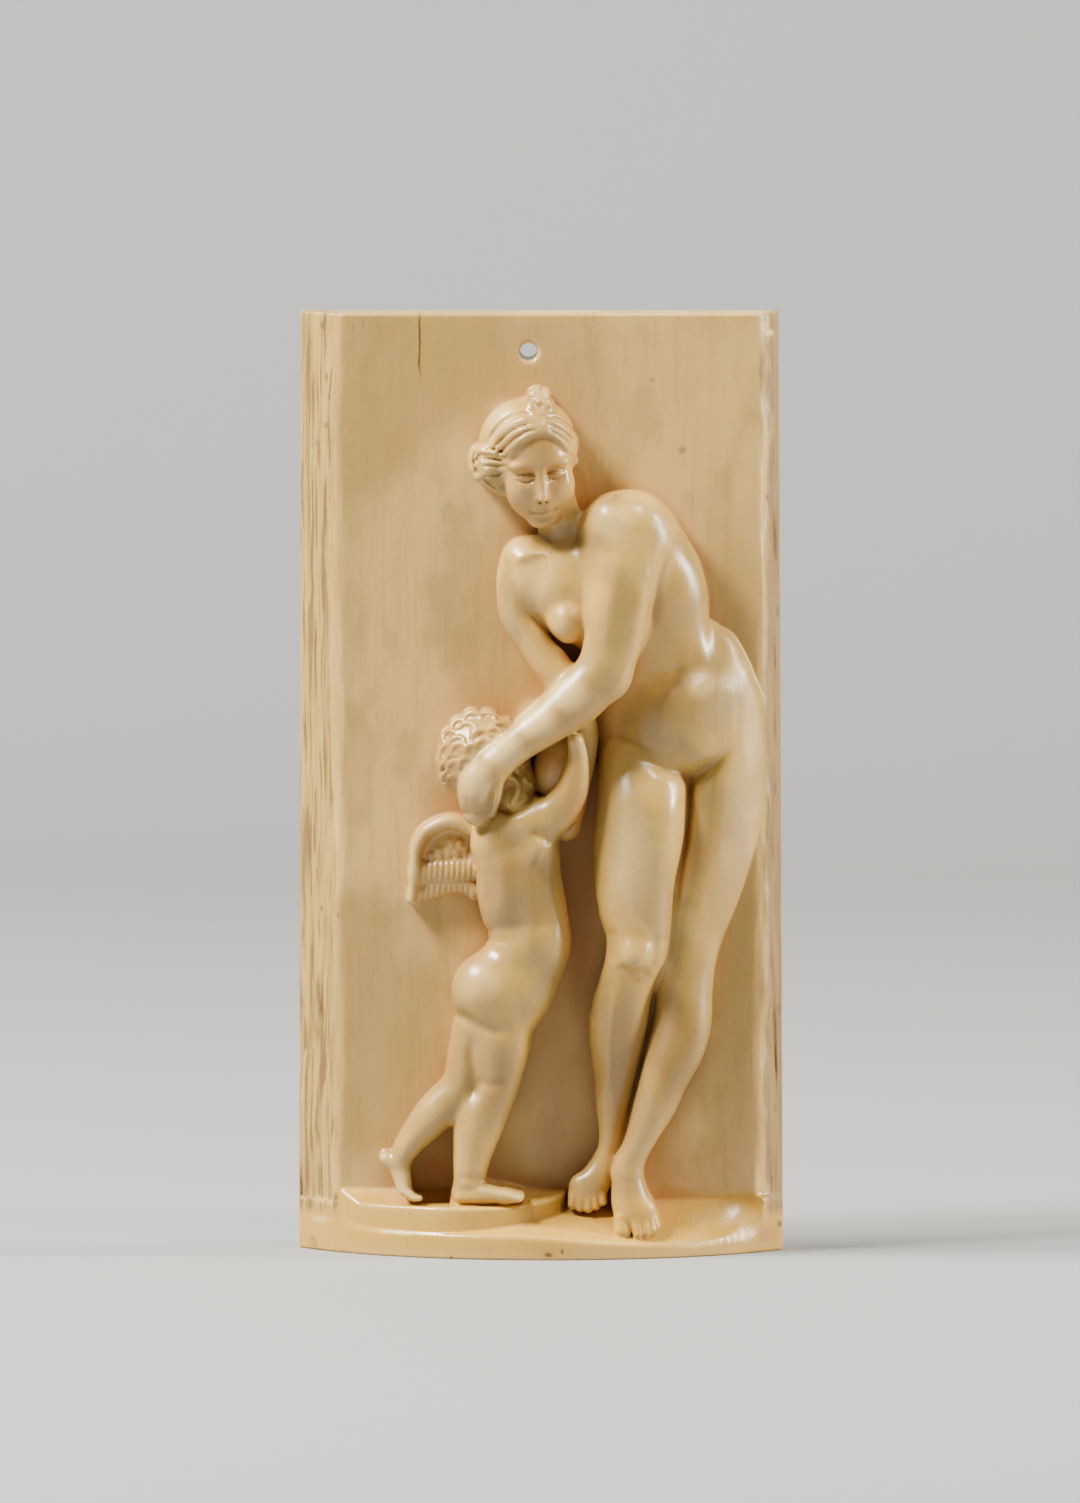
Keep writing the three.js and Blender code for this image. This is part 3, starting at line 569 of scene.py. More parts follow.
hair = {
    "cap": (-2.4, 150.8, 5.0, 9.2, 9.4, 7.4, 0),
    "shell": (0, 3.3, -0.9, 7.3, 8.5, 8.4, 0.4),       # in the head's own frame
    "opening": (0.3, -3.6, 8.4, 7.2, 11.6, 8.4, 1.2),
    "locks": {                   # [across, seen, half width, half depth], laid on the head
        "leftBack": [(0.2, 155.2, 0.6, 0.6), (-2.8, 155.4, 0.8, 0.7), (-5.6, 154.2, 0.9, 0.8),
                     (-7.8, 152.2, 0.9, 0.8), (-9.2, 150, 0.7, 0.7)],
        "leftMiddle": [(0.1, 154.4, 0.6, 0.6), (-2.6, 154.2, 0.85, 0.8), (-5.2, 152.9, 0.95, 0.9),
                       (-7.2, 151, 0.9, 0.9), (-8.7, 149.3, 0.7, 0.7)],
        "leftFront": [(0, 153.7, 0.5, 0.5), (-2.1, 153.1, 0.75, 0.7), (-4.3, 151.6, 0.85, 0.8),
                      (-6.2, 149.8, 0.8, 0.8), (-7.6, 148.7, 0.6, 0.6)],
        "rightBack": [(0.7, 155.2, 0.5, 0.5), (2.8, 154.7, 0.6, 0.6), (4.8, 153.3, 0.6, 0.6),
                      (6.2, 151.4, 0.5, 0.5)],
        "rightMiddle": [(0.7, 154.4, 0.5, 0.5), (2.7, 153.8, 0.65, 0.6), (4.7, 152.3, 0.65, 0.6),
                        (6.2, 150.1, 0.5, 0.5)],
        "rightFront": [(0.7, 153.7, 0.45, 0.45), (2.5, 152.9, 0.6, 0.6), (4.3, 151.5, 0.6, 0.6),
                       (5.6, 149.6, 0.5, 0.5), (6.2, 147.6, 0.4, 0.4)],
    },
    "bun": (-9.4, 147.1, 6.4, 3.0, 3.6, 4.1, 12),
    "rolls": {                   # [across, seen, out, half width, half depth], off the head
        "high": [(-6, 148.7, 10.5, 0.8, 1.2), (-8.6, 149.5, 9.8, 1.2, 1.5),
                 (-10.8, 149.6, 8.2, 1.2, 1.6), (-12.2, 148.7, 6.8, 0.8, 1.4)],
        "middle": [(-6.2, 147.4, 10, 0.5, 1.0), (-8.8, 147.7, 9.4, 0.9, 1.2), (-11.2, 147.6, 7.8, 0.9, 1.3),
                   (-12.5, 146.8, 6.6, 0.6, 1.2)],
        "low": [(-6.5, 146.2, 9.6, 0.4, 0.9), (-8.6, 146, 9, 0.7, 1.0), (-10.6, 145.8, 8, 0.7, 1.1),
                (-11.8, 145, 7, 0.5, 1.0)],
        "nape": [(-11.2, 145.4, 6.6, 0.8, 1.3), (-9.8, 144.7, 6.8, 1.5, 1.8), (-8.4, 143.7, 6.8, 1.5, 1.9),
                 (-7, 142.5, 6.6, 1.1, 1.6)],
        "under": [(-6.6, 144.8, 8.6, 0.5, 0.9), (-8, 144.4, 8.4, 0.7, 1.0), (-9.6, 144.4, 7.8, 0.5, 1.0)],
        "wrapped": [(-10.4, 150.7, 7.4, 0.6, 1.0), (-12, 149.7, 6.6, 0.9, 1.3),
                    (-12.4, 147.8, 6.4, 0.9, 1.3), (-11.9, 145.8, 6.6, 0.8, 1.2),
                    (-10.6, 144.1, 7, 0.6, 1.0)],
        "temple": [(-5.2, 151.2, 11.4, 0.7, 0.9), (-6.3, 149.4, 10.8, 0.9, 1.1),
                   (-6.8, 147.4, 10.2, 0.8, 1.0), (-6.9, 145.6, 9.4, 0.6, 0.9)],
    },
    "fineLines": [               # [across, seen] of the comb's lines, laid over the locks
        [(-5.4, 148.4), (-8.4, 149), (-11, 149), (-12.2, 148.2)],
        [(-6.4, 149.3), (-8.6, 150.1), (-11, 150)],
        [(-6, 147), (-8.6, 147.1), (-11.4, 146.9)],
        [(-6.4, 148), (-8.8, 148.3), (-11.4, 148.2)],
        [(-6.6, 145.7), (-8.8, 145.4), (-11, 145)],
        [(-11, 144.9), (-9.4, 143.6), (-7.9, 142.6)],
        [(-11.4, 150.1), (-12.4, 148.6), (-12, 146.4), (-10.8, 144.6)],
        [(-10.8, 150), (-11.7, 148.6), (-11.4, 146.6), (-10, 145.2)],
        [(0.1, 154.9), (-2.7, 154.8), (-5.4, 153.6), (-7.5, 151.6), (-9, 149.6)],
        [(0, 154), (-2.4, 153.6), (-4.7, 152.3), (-6.7, 150.4), (-8.2, 149)],
        [(0.8, 154.8), (2.8, 154.2), (4.8, 152.8), (6.3, 150.8)],
        [(0.8, 154), (2.6, 153.3), (4.5, 151.9), (6, 149.8)],
    ],
    "knot": {                    # the tied hair over the forehead
        "topLeft": (-1.2, 160.2, 8.8, 1.5, 1.1, 1.8, 35),
        "topRight": (0.7, 159.9, 8.8, 0.9, 1.1, 1.7, -20),
        "left": (-1.6, 158.2, 10.4, 1.3, 1.1, 1.6, 25),
        "right": (1.1, 158.2, 10.4, 1.4, 1.1, 1.6, -35),
        "middle": (-0.2, 158.9, 9.8, 1.2, 1.2, 1.8, 0),
        "low": (0.1, 156.8, 11.6, 1.2, 0.9, 1.6, 0),
    },
    "knotLines": [
        [(-2.2, 159.6, 11), (-1.2, 160.4, 11), (-0.2, 160.6, 11)],
        [(-2.4, 157.8, 13), (-1.6, 158.4, 13), (-0.6, 158.6, 13)],
        [(0.4, 158.8, 13), (1.3, 158.2, 13), (2.2, 157.4, 13)],
    ],
    "band": [
        [(-9.6, 149.9, 9), (-9, 152.5, 10), (-7.3, 154.6, 11), (-5.2, 156, 12), (-3, 156.6, 12),
         (-0.8, 156, 12)],
        [(0.8, 156, 12), (3, 155.5, 12), (5, 154.1, 11), (6.6, 152, 9)],
    ],
    "capLines": 7,
    "capLine": [                 # [across, seen, out] of the first line, and how far off the last one lies
        (-2.4, 159.6, 11, 0, -2.4), (-5.2, 159, 12, 0.6, -2.3),
        (-8.4, 157, 10, 1.0, -2.1), (-10.9, 152.8, 8, 1.2, -1.4),
    ],
    "knives": {                  # width and depth of the cuts
        "cap": (0.4, 0.12),
        "band": (0.5, 0.65),
        "fine": (0.3, 0.45),
        "knot": (0.25, 0.2),
    },
    "fineOut": 11,
    "lockSunk": 0.35,
}

def makeHair(body):
    knives = hair["knives"]
    cells, space = headFrame(goddessHead)
    shell = cutBall(ballIn(space, hair["shell"]), space, hair["opening"])
    body[cells] = softJoin(body[cells], shell.astype(np.float32), hair["shell"][6])
    for share in np.linspace(0, 1, hair["capLines"]):
        line = [
            (across + aside * share, seen + rise * share, out)
            for across, seen, out, aside, rise in hair["capLine"]
        ]
        stroke(body, line, *knives["cap"])
    mass(body, hair["bun"], 1)
    for roll in hair["rolls"].values():
        limb(body, roll, 0.5)
    for line in hair["band"]:
        stroke(body, line, *knives["band"])
    for lock in hair["locks"].values():
        limb(body, laid(body, lock, -hair["lockSunk"]), 0.3)
    for line in hair["fineLines"]:
        stroke(body, [(across, seen, hair["fineOut"]) for across, seen in line], *knives["fine"])
    for lock in hair["knot"].values():
        mass(body, lock, 0.5)
    for line in hair["knotLines"]:
        stroke(body, line, *knives["knot"])

def makeGoddess():
    body = newBlock()
    loft(body, goddess["trunk"])
    mass(body, goddessMasses["shoulderBlade"], 3)
    loft(body, goddess["hip"], 2.5)
    loft(body, goddess["rearLeg"], 0.9)
    loft(body, goddess["frontLeg"], 1.2)
    mass(body, goddessMasses["belly"], 1.6)
    mass(body, goddessMasses["chestFront"], 3)
    limb(body, goddess["farArm"], 2.5, 0.5)
    mass(body, goddessMasses["behindArms"], 1.5)
    mass(body, goddessMasses["breast"], 1.2)
    limb(body, goddess["neck"], 2, 1)
    mass(body, goddessMasses["shoulder"], 4.5)
    mass(body, goddessMasses["shoulderTop"], 2)
    limb(body, goddess["shadow"], 1)
    mass(body, goddessMasses["kneeCap"], 1.6)
    limb(body, goddess["rearFoot"], 1)
    limb(body, goddess["frontFoot"], 1)
    for foot in ("front", "rear"):
        for toe in toes[foot]:
            limb(body, toe, 0.4)
    mass(body, hair["cap"], 1)
    makeHead(body, goddessHead)
    makeHair(body)
    limb(body, goddess["nearArm"], 4, 0.6)
    limb(body, goddess["nearForearm"], 1.2)
    limb(body, goddess["nearHand"], 1.5)
    limb(body, goddess["thumb"], 0.8)
    for fold in goddessFolds.values():
        stroke(body, *fold)
    return body

child = {
    "trunk": {
        "shoulders": (-5.6, 79.4, 6.5, 6.4, 5.2),
        "shoulderBlades": (-4.4, 75, 7.6, 7.4, 6.2),
        "back": (-4, 69.5, 7.6, 8.0, 6.6),
        "ribs": (-3.2, 65, 7.4, 7.9, 6.5),
        "waist": (-2.6, 61.5, 7.2, 7.2, 6.2),
        "loin": (-2.6, 57.5, 7.4, 7.5, 6.4),
        "hips": (-4.9, 52, 7.4, 8.0, 6.6),
        "seat": (-8.3, 47.5, 7.2, 7.5, 6.2),
    },
    "arm": {
        "shoulder": (-2.2, 80.9, 9.2, 4.8, 4.6),
        "upper": (2.4, 82.6, 10.4, 4.0, 3.8),
        "elbow": (5.2, 86.2, 11.4, 3.2, 3),
        "forearm": (6.4, 90.2, 11.8, 2.5, 2.5),
        "wrist": (6.8, 93.6, 12.2, 1.8, 2),
        "hand": (6.4, 96.2, 13, 1.5, 1.8),
    },
    "standingLeg": {
        "hip": (-7.4, 44.5, 7.8, 6.0, 5.8),
        "thigh": (-7.6, 38.5, 8.2, 5.4, 5.2),
        "knee": (-8.6, 31.4, 8.4, 4.2, 4.2),
        "calf": (-11.4, 25.5, 8.8, 4.6, 4.3),
        "shin": (-12.7, 19.5, 9, 3.6, 3.4),
        "ankle": (-13.3, 14.8, 9, 2.9, 3),
    },
    "standingFoot": {
        "heel": (-14.6, 12.7, 8.6, 2, 2.4),
        "instep": (-10.6, 12.7, 9.6, 1.7, 2.8),
        "ball": (-7, 12.1, 10.4, 1.1, 2.4),
    },
    "trailingLeg": {
        "hip": (-11.8, 43.5, 6.3, 4.6, 4.8),
        "thigh": (-12.9, 38, 6.6, 4.5, 4.8),
        "knee": (-14.8, 31.8, 7, 3.9, 4.2),
        "calf": (-19.6, 27, 7, 3.6, 3.7),
        "shin": (-23.8, 22.2, 6.6, 2.6, 2.8),
        "ankle": (-26.2, 18.4, 6.2, 2.1, 2.2),
    },
    "trailingFoot": {
        "heel": (-28.7, 18.8, 6, 1.2, 1.7),
        "arch": (-26.4, 17.3, 6.6, 1.9, 1.8),
        "ball": (-25.5, 14.2, 7.4, 1.5, 2),
    },
}

childMasses = {                  # as for the goddess, then the softness
    "belly": ((0, 60, 7.4, 4.8, 7, 5.8, 0), 3),
    "sideHip": ((-5.6, 49, 8.2, 6, 6, 5.8, 0), 3),
    "roundBehind": ((-9.9, 50.6, 8.4, 6.6, 6.3, 6.6, 0), 2.2),
    "shoulder": ((-9.2, 77, 7.2, 3.8, 3.8, 4.8, 20), 2.5),
    "bladeRight": ((-0.6, 76.4, 8.2, 3.6, 4.4, 6.2, -15), 2.5),
    "skull": ((-10.5, 92.6, 5.6, 8.7, 8.8, 7.6, 0), 0.8),
    "face": ((-4.4, 88, 6.4, 3.6, 4.6, 5, 0), 1),
    "cheek": ((-5.4, 85.9, 8, 2.9, 2.8, 4, 0), 1),
}

childFolds = {
    "underSeat": ([(-17.4, 46, 9), (-13.4, 44.3, 12), (-10, 42.9, 13), (-5, 42.4, 13)], 1.2, 0.7),
    "thighs": ([(-11.6, 43.6, 12), (-12.7, 39, 12), (-12.6, 34.5, 12), (-12.6, 32, 12),
                (-13.6, 29.4, 12)], 1.2, 0.4),
    "kneeBack": ([(-12.2, 33.4, 13), (-9.4, 32.4, 13), (-6.2, 33, 12)], 0.9, 0.3),
    "waist": ([(-10.4, 62.6, 12), (-6, 61.8, 14), (-1, 62, 14), (4, 62.8, 12)], 1.1, 0.22),
    "spine": ([(-4, 80, 13), (-4.8, 74, 14), (-4.4, 66, 14), (-5.4, 57, 14)], 2.4, 0.6),
    "bladeEdge": ([(1.4, 77, 13), (0.6, 73.6, 14), (-1.6, 71.6, 14)], 1.0, 0.3),
    "flank": ([(-10.6, 73, 11), (-9.2, 69, 12), (-9.4, 65, 12)], 1.4, 0.35),
    "jaw": ([(-8, 83.8, 12), (-5.5, 82.9, 12.5), (-3.2, 83.8, 12.5), (-1, 86.4, 12)], 0.6, 0.7),
    "armpit": ([(-2, 79.8, 14), (0, 78.6, 12), (2, 77.4, 10)], 0.9, 0.4),
    "heel": ([(-15.8, 15.6, 12), (-13, 15, 12.4), (-10.6, 15.4, 12)], 0.7, 0.25),
}

childHair = {
    "edge": [                    # [across, seen, radius] of the locks along the outline
        (-17.9, 92.3, 1.6), (-17.2, 95.9, 1.3), (-15.4, 98.6, 1.2), (-12.6, 100.1, 1.6), (-9.2, 100.1, 1.4),
        (-6.4, 99.2, 1.1), (-18, 90, 1.0),
    ],
    "edgeOut": 6.6,
    "edgeSoftness": 0.7,
    "tufts": [                   # [across, seen, direction in degrees, size] of the locks over the crown
        (-6.6, 98.6, 200, 1.3), (-8.7, 99.4, 150, 1.2), (-11.2, 99.8, 170, 1.3), (-13.6, 99.2, 200, 1.3),
        (-15.7, 97.6, 220, 1.2), (-7.4, 96.8, 160, 1.2), (-9.6, 97.3, 200, 1.4), (-12.1, 97.2, 150, 1.4),
        (-14.3, 96.3, 215, 1.3), (-16.6, 95.3, 240, 1.2), (-9.2, 95.2, 175, 1.2), (-11.3, 94.9, 205, 1.3),
        (-13.5, 94.1, 170, 1.3), (-15.5, 93.4, 230, 1.2), (-17.3, 92.5, 275, 1.3), (-14.6, 91.7, 200, 1.2),
        (-16.5, 90.7, 250, 1.1), (-15.2, 89.6, 220, 1.1), (-12.6, 92.2, 190, 1.1), (-17.8, 90.2, 290, 0.9),
    ],
    "byEar": [
        (-2.3, 90.7, 250, 0.9), (-1.6, 89, 280, 0.8), (-2.4, 87.4, 250, 0.8), (-3.2, 91.6, 220, 0.8),
        (-2.9, 85.9, 260, 0.7),
    ],
    "swell": (0.5, 0.85, 1, 0.9, 0.6),     # of a lock from its root to its end
    "width": 0.7,
    "depth": 0.5,
    "pace": 0.75,
    "firstTurn": -50,            # degrees
    "nextTurn": 38,
    "knife": (0.22, 0.15),
    "knifeOut": 8,
}

childEar = [                     # [across, seen, half width, half depth]
    (-5.2, 85.0, 0.6, 0.8), (-4.4, 86.6, 0.6, 1.0), (-4.2, 88.2, 0.65, 1.1), (-5.1, 89.4, 0.65, 1.1),
    (-6.6, 89.7, 0.6, 1.0),
]

wing = {
    "rim": {
        "root": (-12.2, 79.8, 4.4, 1.6, 2.0),
        "rise": (-16.6, 81.3, 4.3, 1.35, 1.6),
        "bend": (-20.9, 79.7, 4.0, 1.25, 1.5),
        "fall": (-23, 76.2, 3.7, 1.1, 1.35),
        "edge": (-23.4, 71.8, 3.2, 0.9, 1.2),
        "tip": (-24, 66.8, 2.6, 0.7, 1),
    },
    "sheet": (-17.4, 76.6, 1.6, 6.4, 5, 2.2, 0),
    "upperRow": [(-22.4, 71.9, 2.6, 2.1, 1.5), (-18, 72.2, 3.2, 2.1, 1.5), (-12.4, 72.4, 3.6, 2.1, 1.6)],
    "lowerRow": [(-23.5, 67.6, 1.6, 1.2, 1.2), (-20.6, 68.8, 2.2, 2.0, 1.4), (-17, 69.8, 2.4, 1.9, 1.4),
                 (-14, 69.6, 2.8, 1.8, 1.4), (-12.2, 68.2, 3.2, 1.6, 1.4)],
    "splits": 10,                # between the feathers
    "splitsRange": (0.06, 0.96),
    "splitsFrom": -22.6,
    "splitsOver": 10.4,
    "upperSplit": ([(0, 74.4, 5), (-0.1, 72, 6), (-0.3, 69.6, 5)], 0.26, 0.26, 0.3),
    "lowerSplit": ([(-0.6, 69.8, 4), (-0.8, 67.8, 4), (-1.1, 65.4, 3)], 0.26, 0.3, 0.2),
    "scaleTop": (0, 0.6, 1, 0.6),          # aside, up, share of the half width, half depth
    "scaleTip": (0.15, -0.5, 0.8, 0.5),
    "scales": [                  # small covering feathers: [across, seen, half width]
        (-18.9, 75.2, 0.9), (-17.2, 75.6, 0.8), (-15.8, 75.1, 0.9), (-14.2, 75.5, 0.8), (-12.9, 74.9, 0.8),
        (-16.8, 77, 0.7), (-15.2, 76.8, 0.8), (-13.6, 77, 0.8), (-12.3, 76.5, 0.7), (-20.4, 74.6, 0.7),
        (-12.2, 73.4, 0.8), (-12, 71.8, 0.7),
    ],
}

def tuft(body, across, seen, direction, size):       # a lock that curls over at its end
    turn = math.radians(direction)
    pace = childHair["pace"] * size
    rows = []
    for step, swell in enumerate(childHair["swell"]):
        rows.append((across, seen, childHair["width"] * size * swell, childHair["depth"] * swell))
        angle = turn + math.radians(childHair["nextTurn"] * step + childHair["firstTurn"])
        across, seen = across + pace * math.cos(angle), seen + pace * math.sin(angle)
    limb(body, laid(body, rows), 0.3)
    stroke(body, [(row[0], row[1], childHair["knifeOut"]) for row in rows], *childHair["knife"])

def makeChild():
    body = newBlock()
    limb(body, child["trunk"])
    limb(body, child["trailingLeg"], 2)
    limb(body, child["trailingFoot"], 0.9)
    limb(body, child["standingLeg"], 2, 1.2)
    limb(body, child["standingFoot"], 0.9)
    for toe in toes["child"]:
        limb(body, toe, 1)
    for row, softness in childMasses.values():
        mass(body, row, softness)
    for across, seen, radius in childHair["edge"]:
        lock = across, seen, childHair["edgeOut"], radius, radius, radius, 0
        mass(body, lock, childHair["edgeSoftness"])
    for row in childHair["tufts"] + childHair["byEar"]:
        tuft(body, *row)
    limb(body, laid(body, childEar, 0.1), 0.25)
    limb(body, child["arm"], 2, 0.6)
    for fold in childFolds.values():
        stroke(body, *fold)
    return body

def makeWing():
    body = newBlock()
    mass(body, wing["sheet"], 0.8)
    limb(body, wing["lowerRow"], 0.3)
    limb(body, wing["upperRow"], 0.3)
    for across, seen, half in wing["scales"]:
        scale = [
            (across + aside, seen + rise, half * share, deep)
            for aside, rise, share, deep in (wing["scaleTop"], wing["scaleTip"])
        ]
        limb(body, laid(body, scale, -0.1), 0.2)
    for share in np.linspace(*wing["splitsRange"], wing["splits"]):
        across = wing["splitsFrom"] + wing["splitsOver"] * share
        for line, width, depth, fade in (wing["upperSplit"], wing["lowerSplit"]):
            stroke(body, [(across + aside, seen, out) for aside, seen, out in line], width, depth, fade)
    limb(body, wing["rim"], 1.5)
    return body

ledge = {
    "wallHeight": 9.4,           # at the carved ground
    "wallHeightRight": 10.3,
    "risesFrom": 18,             # across
    "risesTo": 42,
    "frontLeft": 4.4,            # heights of the front edge
    "frontRight": 2.4,
    "dropsFrom": -6,
    "dropsTo": 24,
    "softness": 0.9,
    "blend": 0.7,
}

step = {
    "centre": -16.8,
    "halfLength": 21.6,
    "reach": 14.4,
    "setBack": 0.8,
    "wallHeight": 11.9,
    "rimHeight": 9.5,
    "fallLeft": 3.5,             # how far out the top falls to the rim's height
    "fallRight": 12,
    "edgeSoftness": 0.9,
    "planSoftness": 2,
    "blend": 0.35,
    "low": (-40, 0.5),           # across and up, around the step
    "high": (7, 15),
}

hole = {
    "across": -2.3,
    "up": 167.5,
    "radius": 1.6,
    "countersink": 0.6,
    "slope": 0.7,
    "softness": 0.2,
    "around": 4,                 # of the space that it is cut in
}

def tuskFront(across, setBack=0):
    radius = slab["tuskRadius"] - setBack
    return np.sqrt(radius ** 2 - (across - slab["tuskCentre"]) ** 2) - (slab["tuskRadius"] - reliefDepth)

def tuskDistance(across, out, setBack=0):
    behind = slab["tuskRadius"] - reliefDepth
    radius = slab["tuskRadius"] - setBack
    return np.sqrt((across - slab["tuskCentre"]) ** 2 + (out + behind) ** 2) - radius

bark = {                         # unevenness: [seed, width, length, depth]
    "left": -38.8,
    "leftFade": 2,               # over how far the bark begins
    "right": 41.6,
    "rightFade": 1.2,
    "lean": 0.03,                # of the tusk's grain
    "face": [(13, 3, 13, 0.45), (14, 1, 5, 0.2)],
    "faceSoftness": 0.9,
    "border": [(11, 2, 9, 0.5), (12, 0.8, 4, 0.3)],
    "grain": [(0, 0.5, 7, 0.22), (1, 1.1, 16, 0.2)],
    "ground": [(5, 9, 13, 0.10), (6, 4.5, 9, 0.04)],
}

def softNoise(seed, wide, tall):     # from -1 to 1 over the front
    lattice = np.random.default_rng(seed).uniform(-1, 1, (300, 60))
    across = (axes[0][:, None] + bark["lean"] * axes[1][None, :] - block["low"][0]) / wide
    up = (axes[1][None, :] - block["low"][1]) / tall + 0 * across
    column, row = across.astype(int), up.astype(int)
    u, v = smoothStep(0, 1, across - column), smoothStep(0, 1, up - row)
    lower = lattice[column, row] * (1 - u) + lattice[column + 1, row] * u
    upper = lattice[column, row + 1] * (1 - u) + lattice[column + 1, row + 1] * u
    return (lower * (1 - v) + upper * v)[:, :, None].astype(np.float32)

def onBark(x):                       # one on the bark sides, none on the ground between them
    border = x
    for seed, wide, tall, depth in bark["border"]:
        border = border + depth * softNoise(seed, wide, tall)
    left = smoothStep(bark["left"], bark["left"] - bark["leftFade"], border)
    right = smoothStep(bark["right"], bark["right"] + bark["rightFade"], border)
    return np.maximum(left, right)

def makeLedge(body, x, z, d):    # highest at the ground, and lower towards its front edge
    share = np.clip(d / np.maximum(tuskFront(x), 1), 0, 1)
    rise = smoothStep(ledge["risesFrom"], ledge["risesTo"], x)
    wall = ledge["wallHeight"] + (ledge["wallHeightRight"] - ledge["wallHeight"]) * rise
    drop = smoothStep(ledge["dropsFrom"], ledge["dropsTo"], x)
    rim = ledge["frontLeft"] + (ledge["frontRight"] - ledge["frontLeft"]) * drop
    shelf = softCut(z - (wall + (rim - wall) * share), -tuskDistance(x, d), ledge["softness"])
    return softJoin(body, shelf, ledge["blend"])

def makeStep(body):              # the oval step under the child
    cells = window((*step["low"], block["root"]), (*step["high"], 19))
    x, z, d = gridOf(cells)
    half, reach = step["halfLength"], step["reach"]
    u, w = (x - step["centre"]) / half, np.maximum(d, 0) / reach
    ratio = np.sqrt(u ** 2 + w ** 2) + 1e-4
    slope = np.sqrt((u / half) ** 2 + (w / reach) ** 2) + 1e-5
    oval = (ratio - 1) * ratio / slope
    plan = softCut(oval, -tuskDistance(x, d, step["setBack"]), step["planSoftness"])
    fall = np.where(x < step["centre"], step["fallLeft"], step["fallRight"])
    top = step["wallHeight"] + (step["rimHeight"] - step["wallHeight"]) * np.clip(d / fall, 0, 1)
    stepShape = softCut(plan, top - z, step["edgeSoftness"])
    body[cells] = softJoin(body[cells], stepShape, step["blend"])

def makeSlab():
    x, z, d = gridOf(everyCell)
    sunk = sum(depth * softNoise(seed, wide, tall) for seed, wide, tall, depth in bark["face"])
    sunk = sunk - tuskDistance(x, d, slab["barkSetBack"])
    body = softCut(d + 0 * x + 0 * z, sunk, bark["faceSoftness"])
    share = onBark(x)
    for seed, wide, tall, depth in bark["grain"]:
        body = body + depth * share * softNoise(seed, wide, tall)
    for seed, wide, tall, depth in bark["ground"]:
        body = body + depth * (1 - share) * softNoise(seed, wide, tall)
    body = makeLedge(body, x, z, d)
    makeStep(body)
    return body.astype(np.float32)

def trim(field):                 # to the round of the tusk and the sawn sides
    x, z, d = gridOf(everyCell)
    field = softCut(field, -tuskDistance(x, d), slab["edgeSoftness"])
    around, low, high = hole["around"], block["low"][2], 3
    cells = window((hole["across"] - around, hole["up"] - around, low),
                   (hole["across"] + around, hole["up"] + around, high))
    hx, hz, hd = gridOf(cells)
    away = np.sqrt((hx - hole["across"]) ** 2 + (hz - hole["up"]) ** 2) - hole["radius"]
    bore = np.minimum(away, (away - hole["countersink"] - hd) * hole["slope"])
    field[cells] = softCut(field[cells], bore, hole["softness"])
    up = z / slab["height"]
    left = slab["leftFoot"] + (slab["leftTop"] - slab["leftFoot"]) * up
    right = slab["rightFoot"] + (slab["rightTop"] - slab["rightFoot"]) * up
    onLedge = smoothStep(slab["footTo"], slab["footFrom"], z)
    left = left + (slab["leftFoot"] - left) * onLedge
    right = right + (slab["rightFoot"] - right) * onLedge
    for face in (x - right, left - x, z - slab["height"], -z, -slab["groundFromBack"] - d):
        field = softCut(field, -face, slab["sawnSoftness"])
    return field.astype(np.float32)

plaque = makeSlab()
print("slab sawn")
plaque = softJoin(plaque, makeGoddess(), 0.5)
print("goddess carved")
plaque = softJoin(plaque, makeWing(), 0.4)
plaque = softJoin(plaque, makeChild(), 0.5)
plaque = trim(plaque)
print("child carved")

finish = {                       # millimetres
    "triangles": 165000,
    "longestEdge": 2.4,          # on the carved side
    "carvedTo": 4,               # how far back that side goes, from the middle of the depth
    "halvings": 3,
    "sliver": 0.02,              # thinner faces are taken out
    "fold": 1.6,                 # radians between two faces that have folded over
    "foldPasses": 4,
    "reach": (0.7, 1.8, 5.5),    # how far hollows and edges are felt
    "feltCells": 2,              # every so many cells of the block are felt
}

def skinOf(field):               # the surface of the ivory, as a mesh of quads in metres
    grid = openvdb.FloatGrid(block["far"])
    grid.copyFromArray(field)
    points, noTriangles, quads = grid.convertToPolygons(0.0, 0.0)
    places = points * block["step"] + np.array(block["low"])
    places = np.stack([places[:, 0], groundY - places[:, 2], places[:, 1]], axis=1) / 1000
    mesh = bpy.data.meshes.new("ivory_plaque")
    mesh.from_pydata(places, [], quads.tolist())
    mesh.update()
    return mesh

def thinned(mesh, triangles):    # fewer faces where the surface is flat
    rough = bpy.data.objects.new("rough", mesh)
    bpy.context.scene.collection.objects.link(rough)
    decimate = rough.modifiers.new("fewer faces", "DECIMATE")
    decimate.ratio = triangles / (2 * len(mesh.polygons))
    decimate.use_collapse_triangulate = True
    bpy.context.view_layer.update()
    shown = rough.evaluated_get(bpy.context.evaluated_depsgraph_get())
    thin = bpy.data.meshes.new_from_object(shown)
    bpy.data.objects.remove(rough)
    bpy.data.meshes.remove(mesh)
    thin.name = "ivory_plaque"
    return thin

def fillHollows(sculpt):         # spaces sealed in behind the carving become solid ivory
    unseen, islands = set(sculpt.verts), []
    while unseen:
        island, front = set(), {unseen.pop()}
        while front:
            island |= front
            around = {near for vertex in front for edge in vertex.link_edges for near in edge.verts}
            front = around - island
        unseen -= island
        islands.append(island)
    islands.sort(key=len)
    hollows = [vertex for island in islands[:-1] for vertex in island]
    bmesh.ops.delete(sculpt, geom=hollows, context="VERTS")

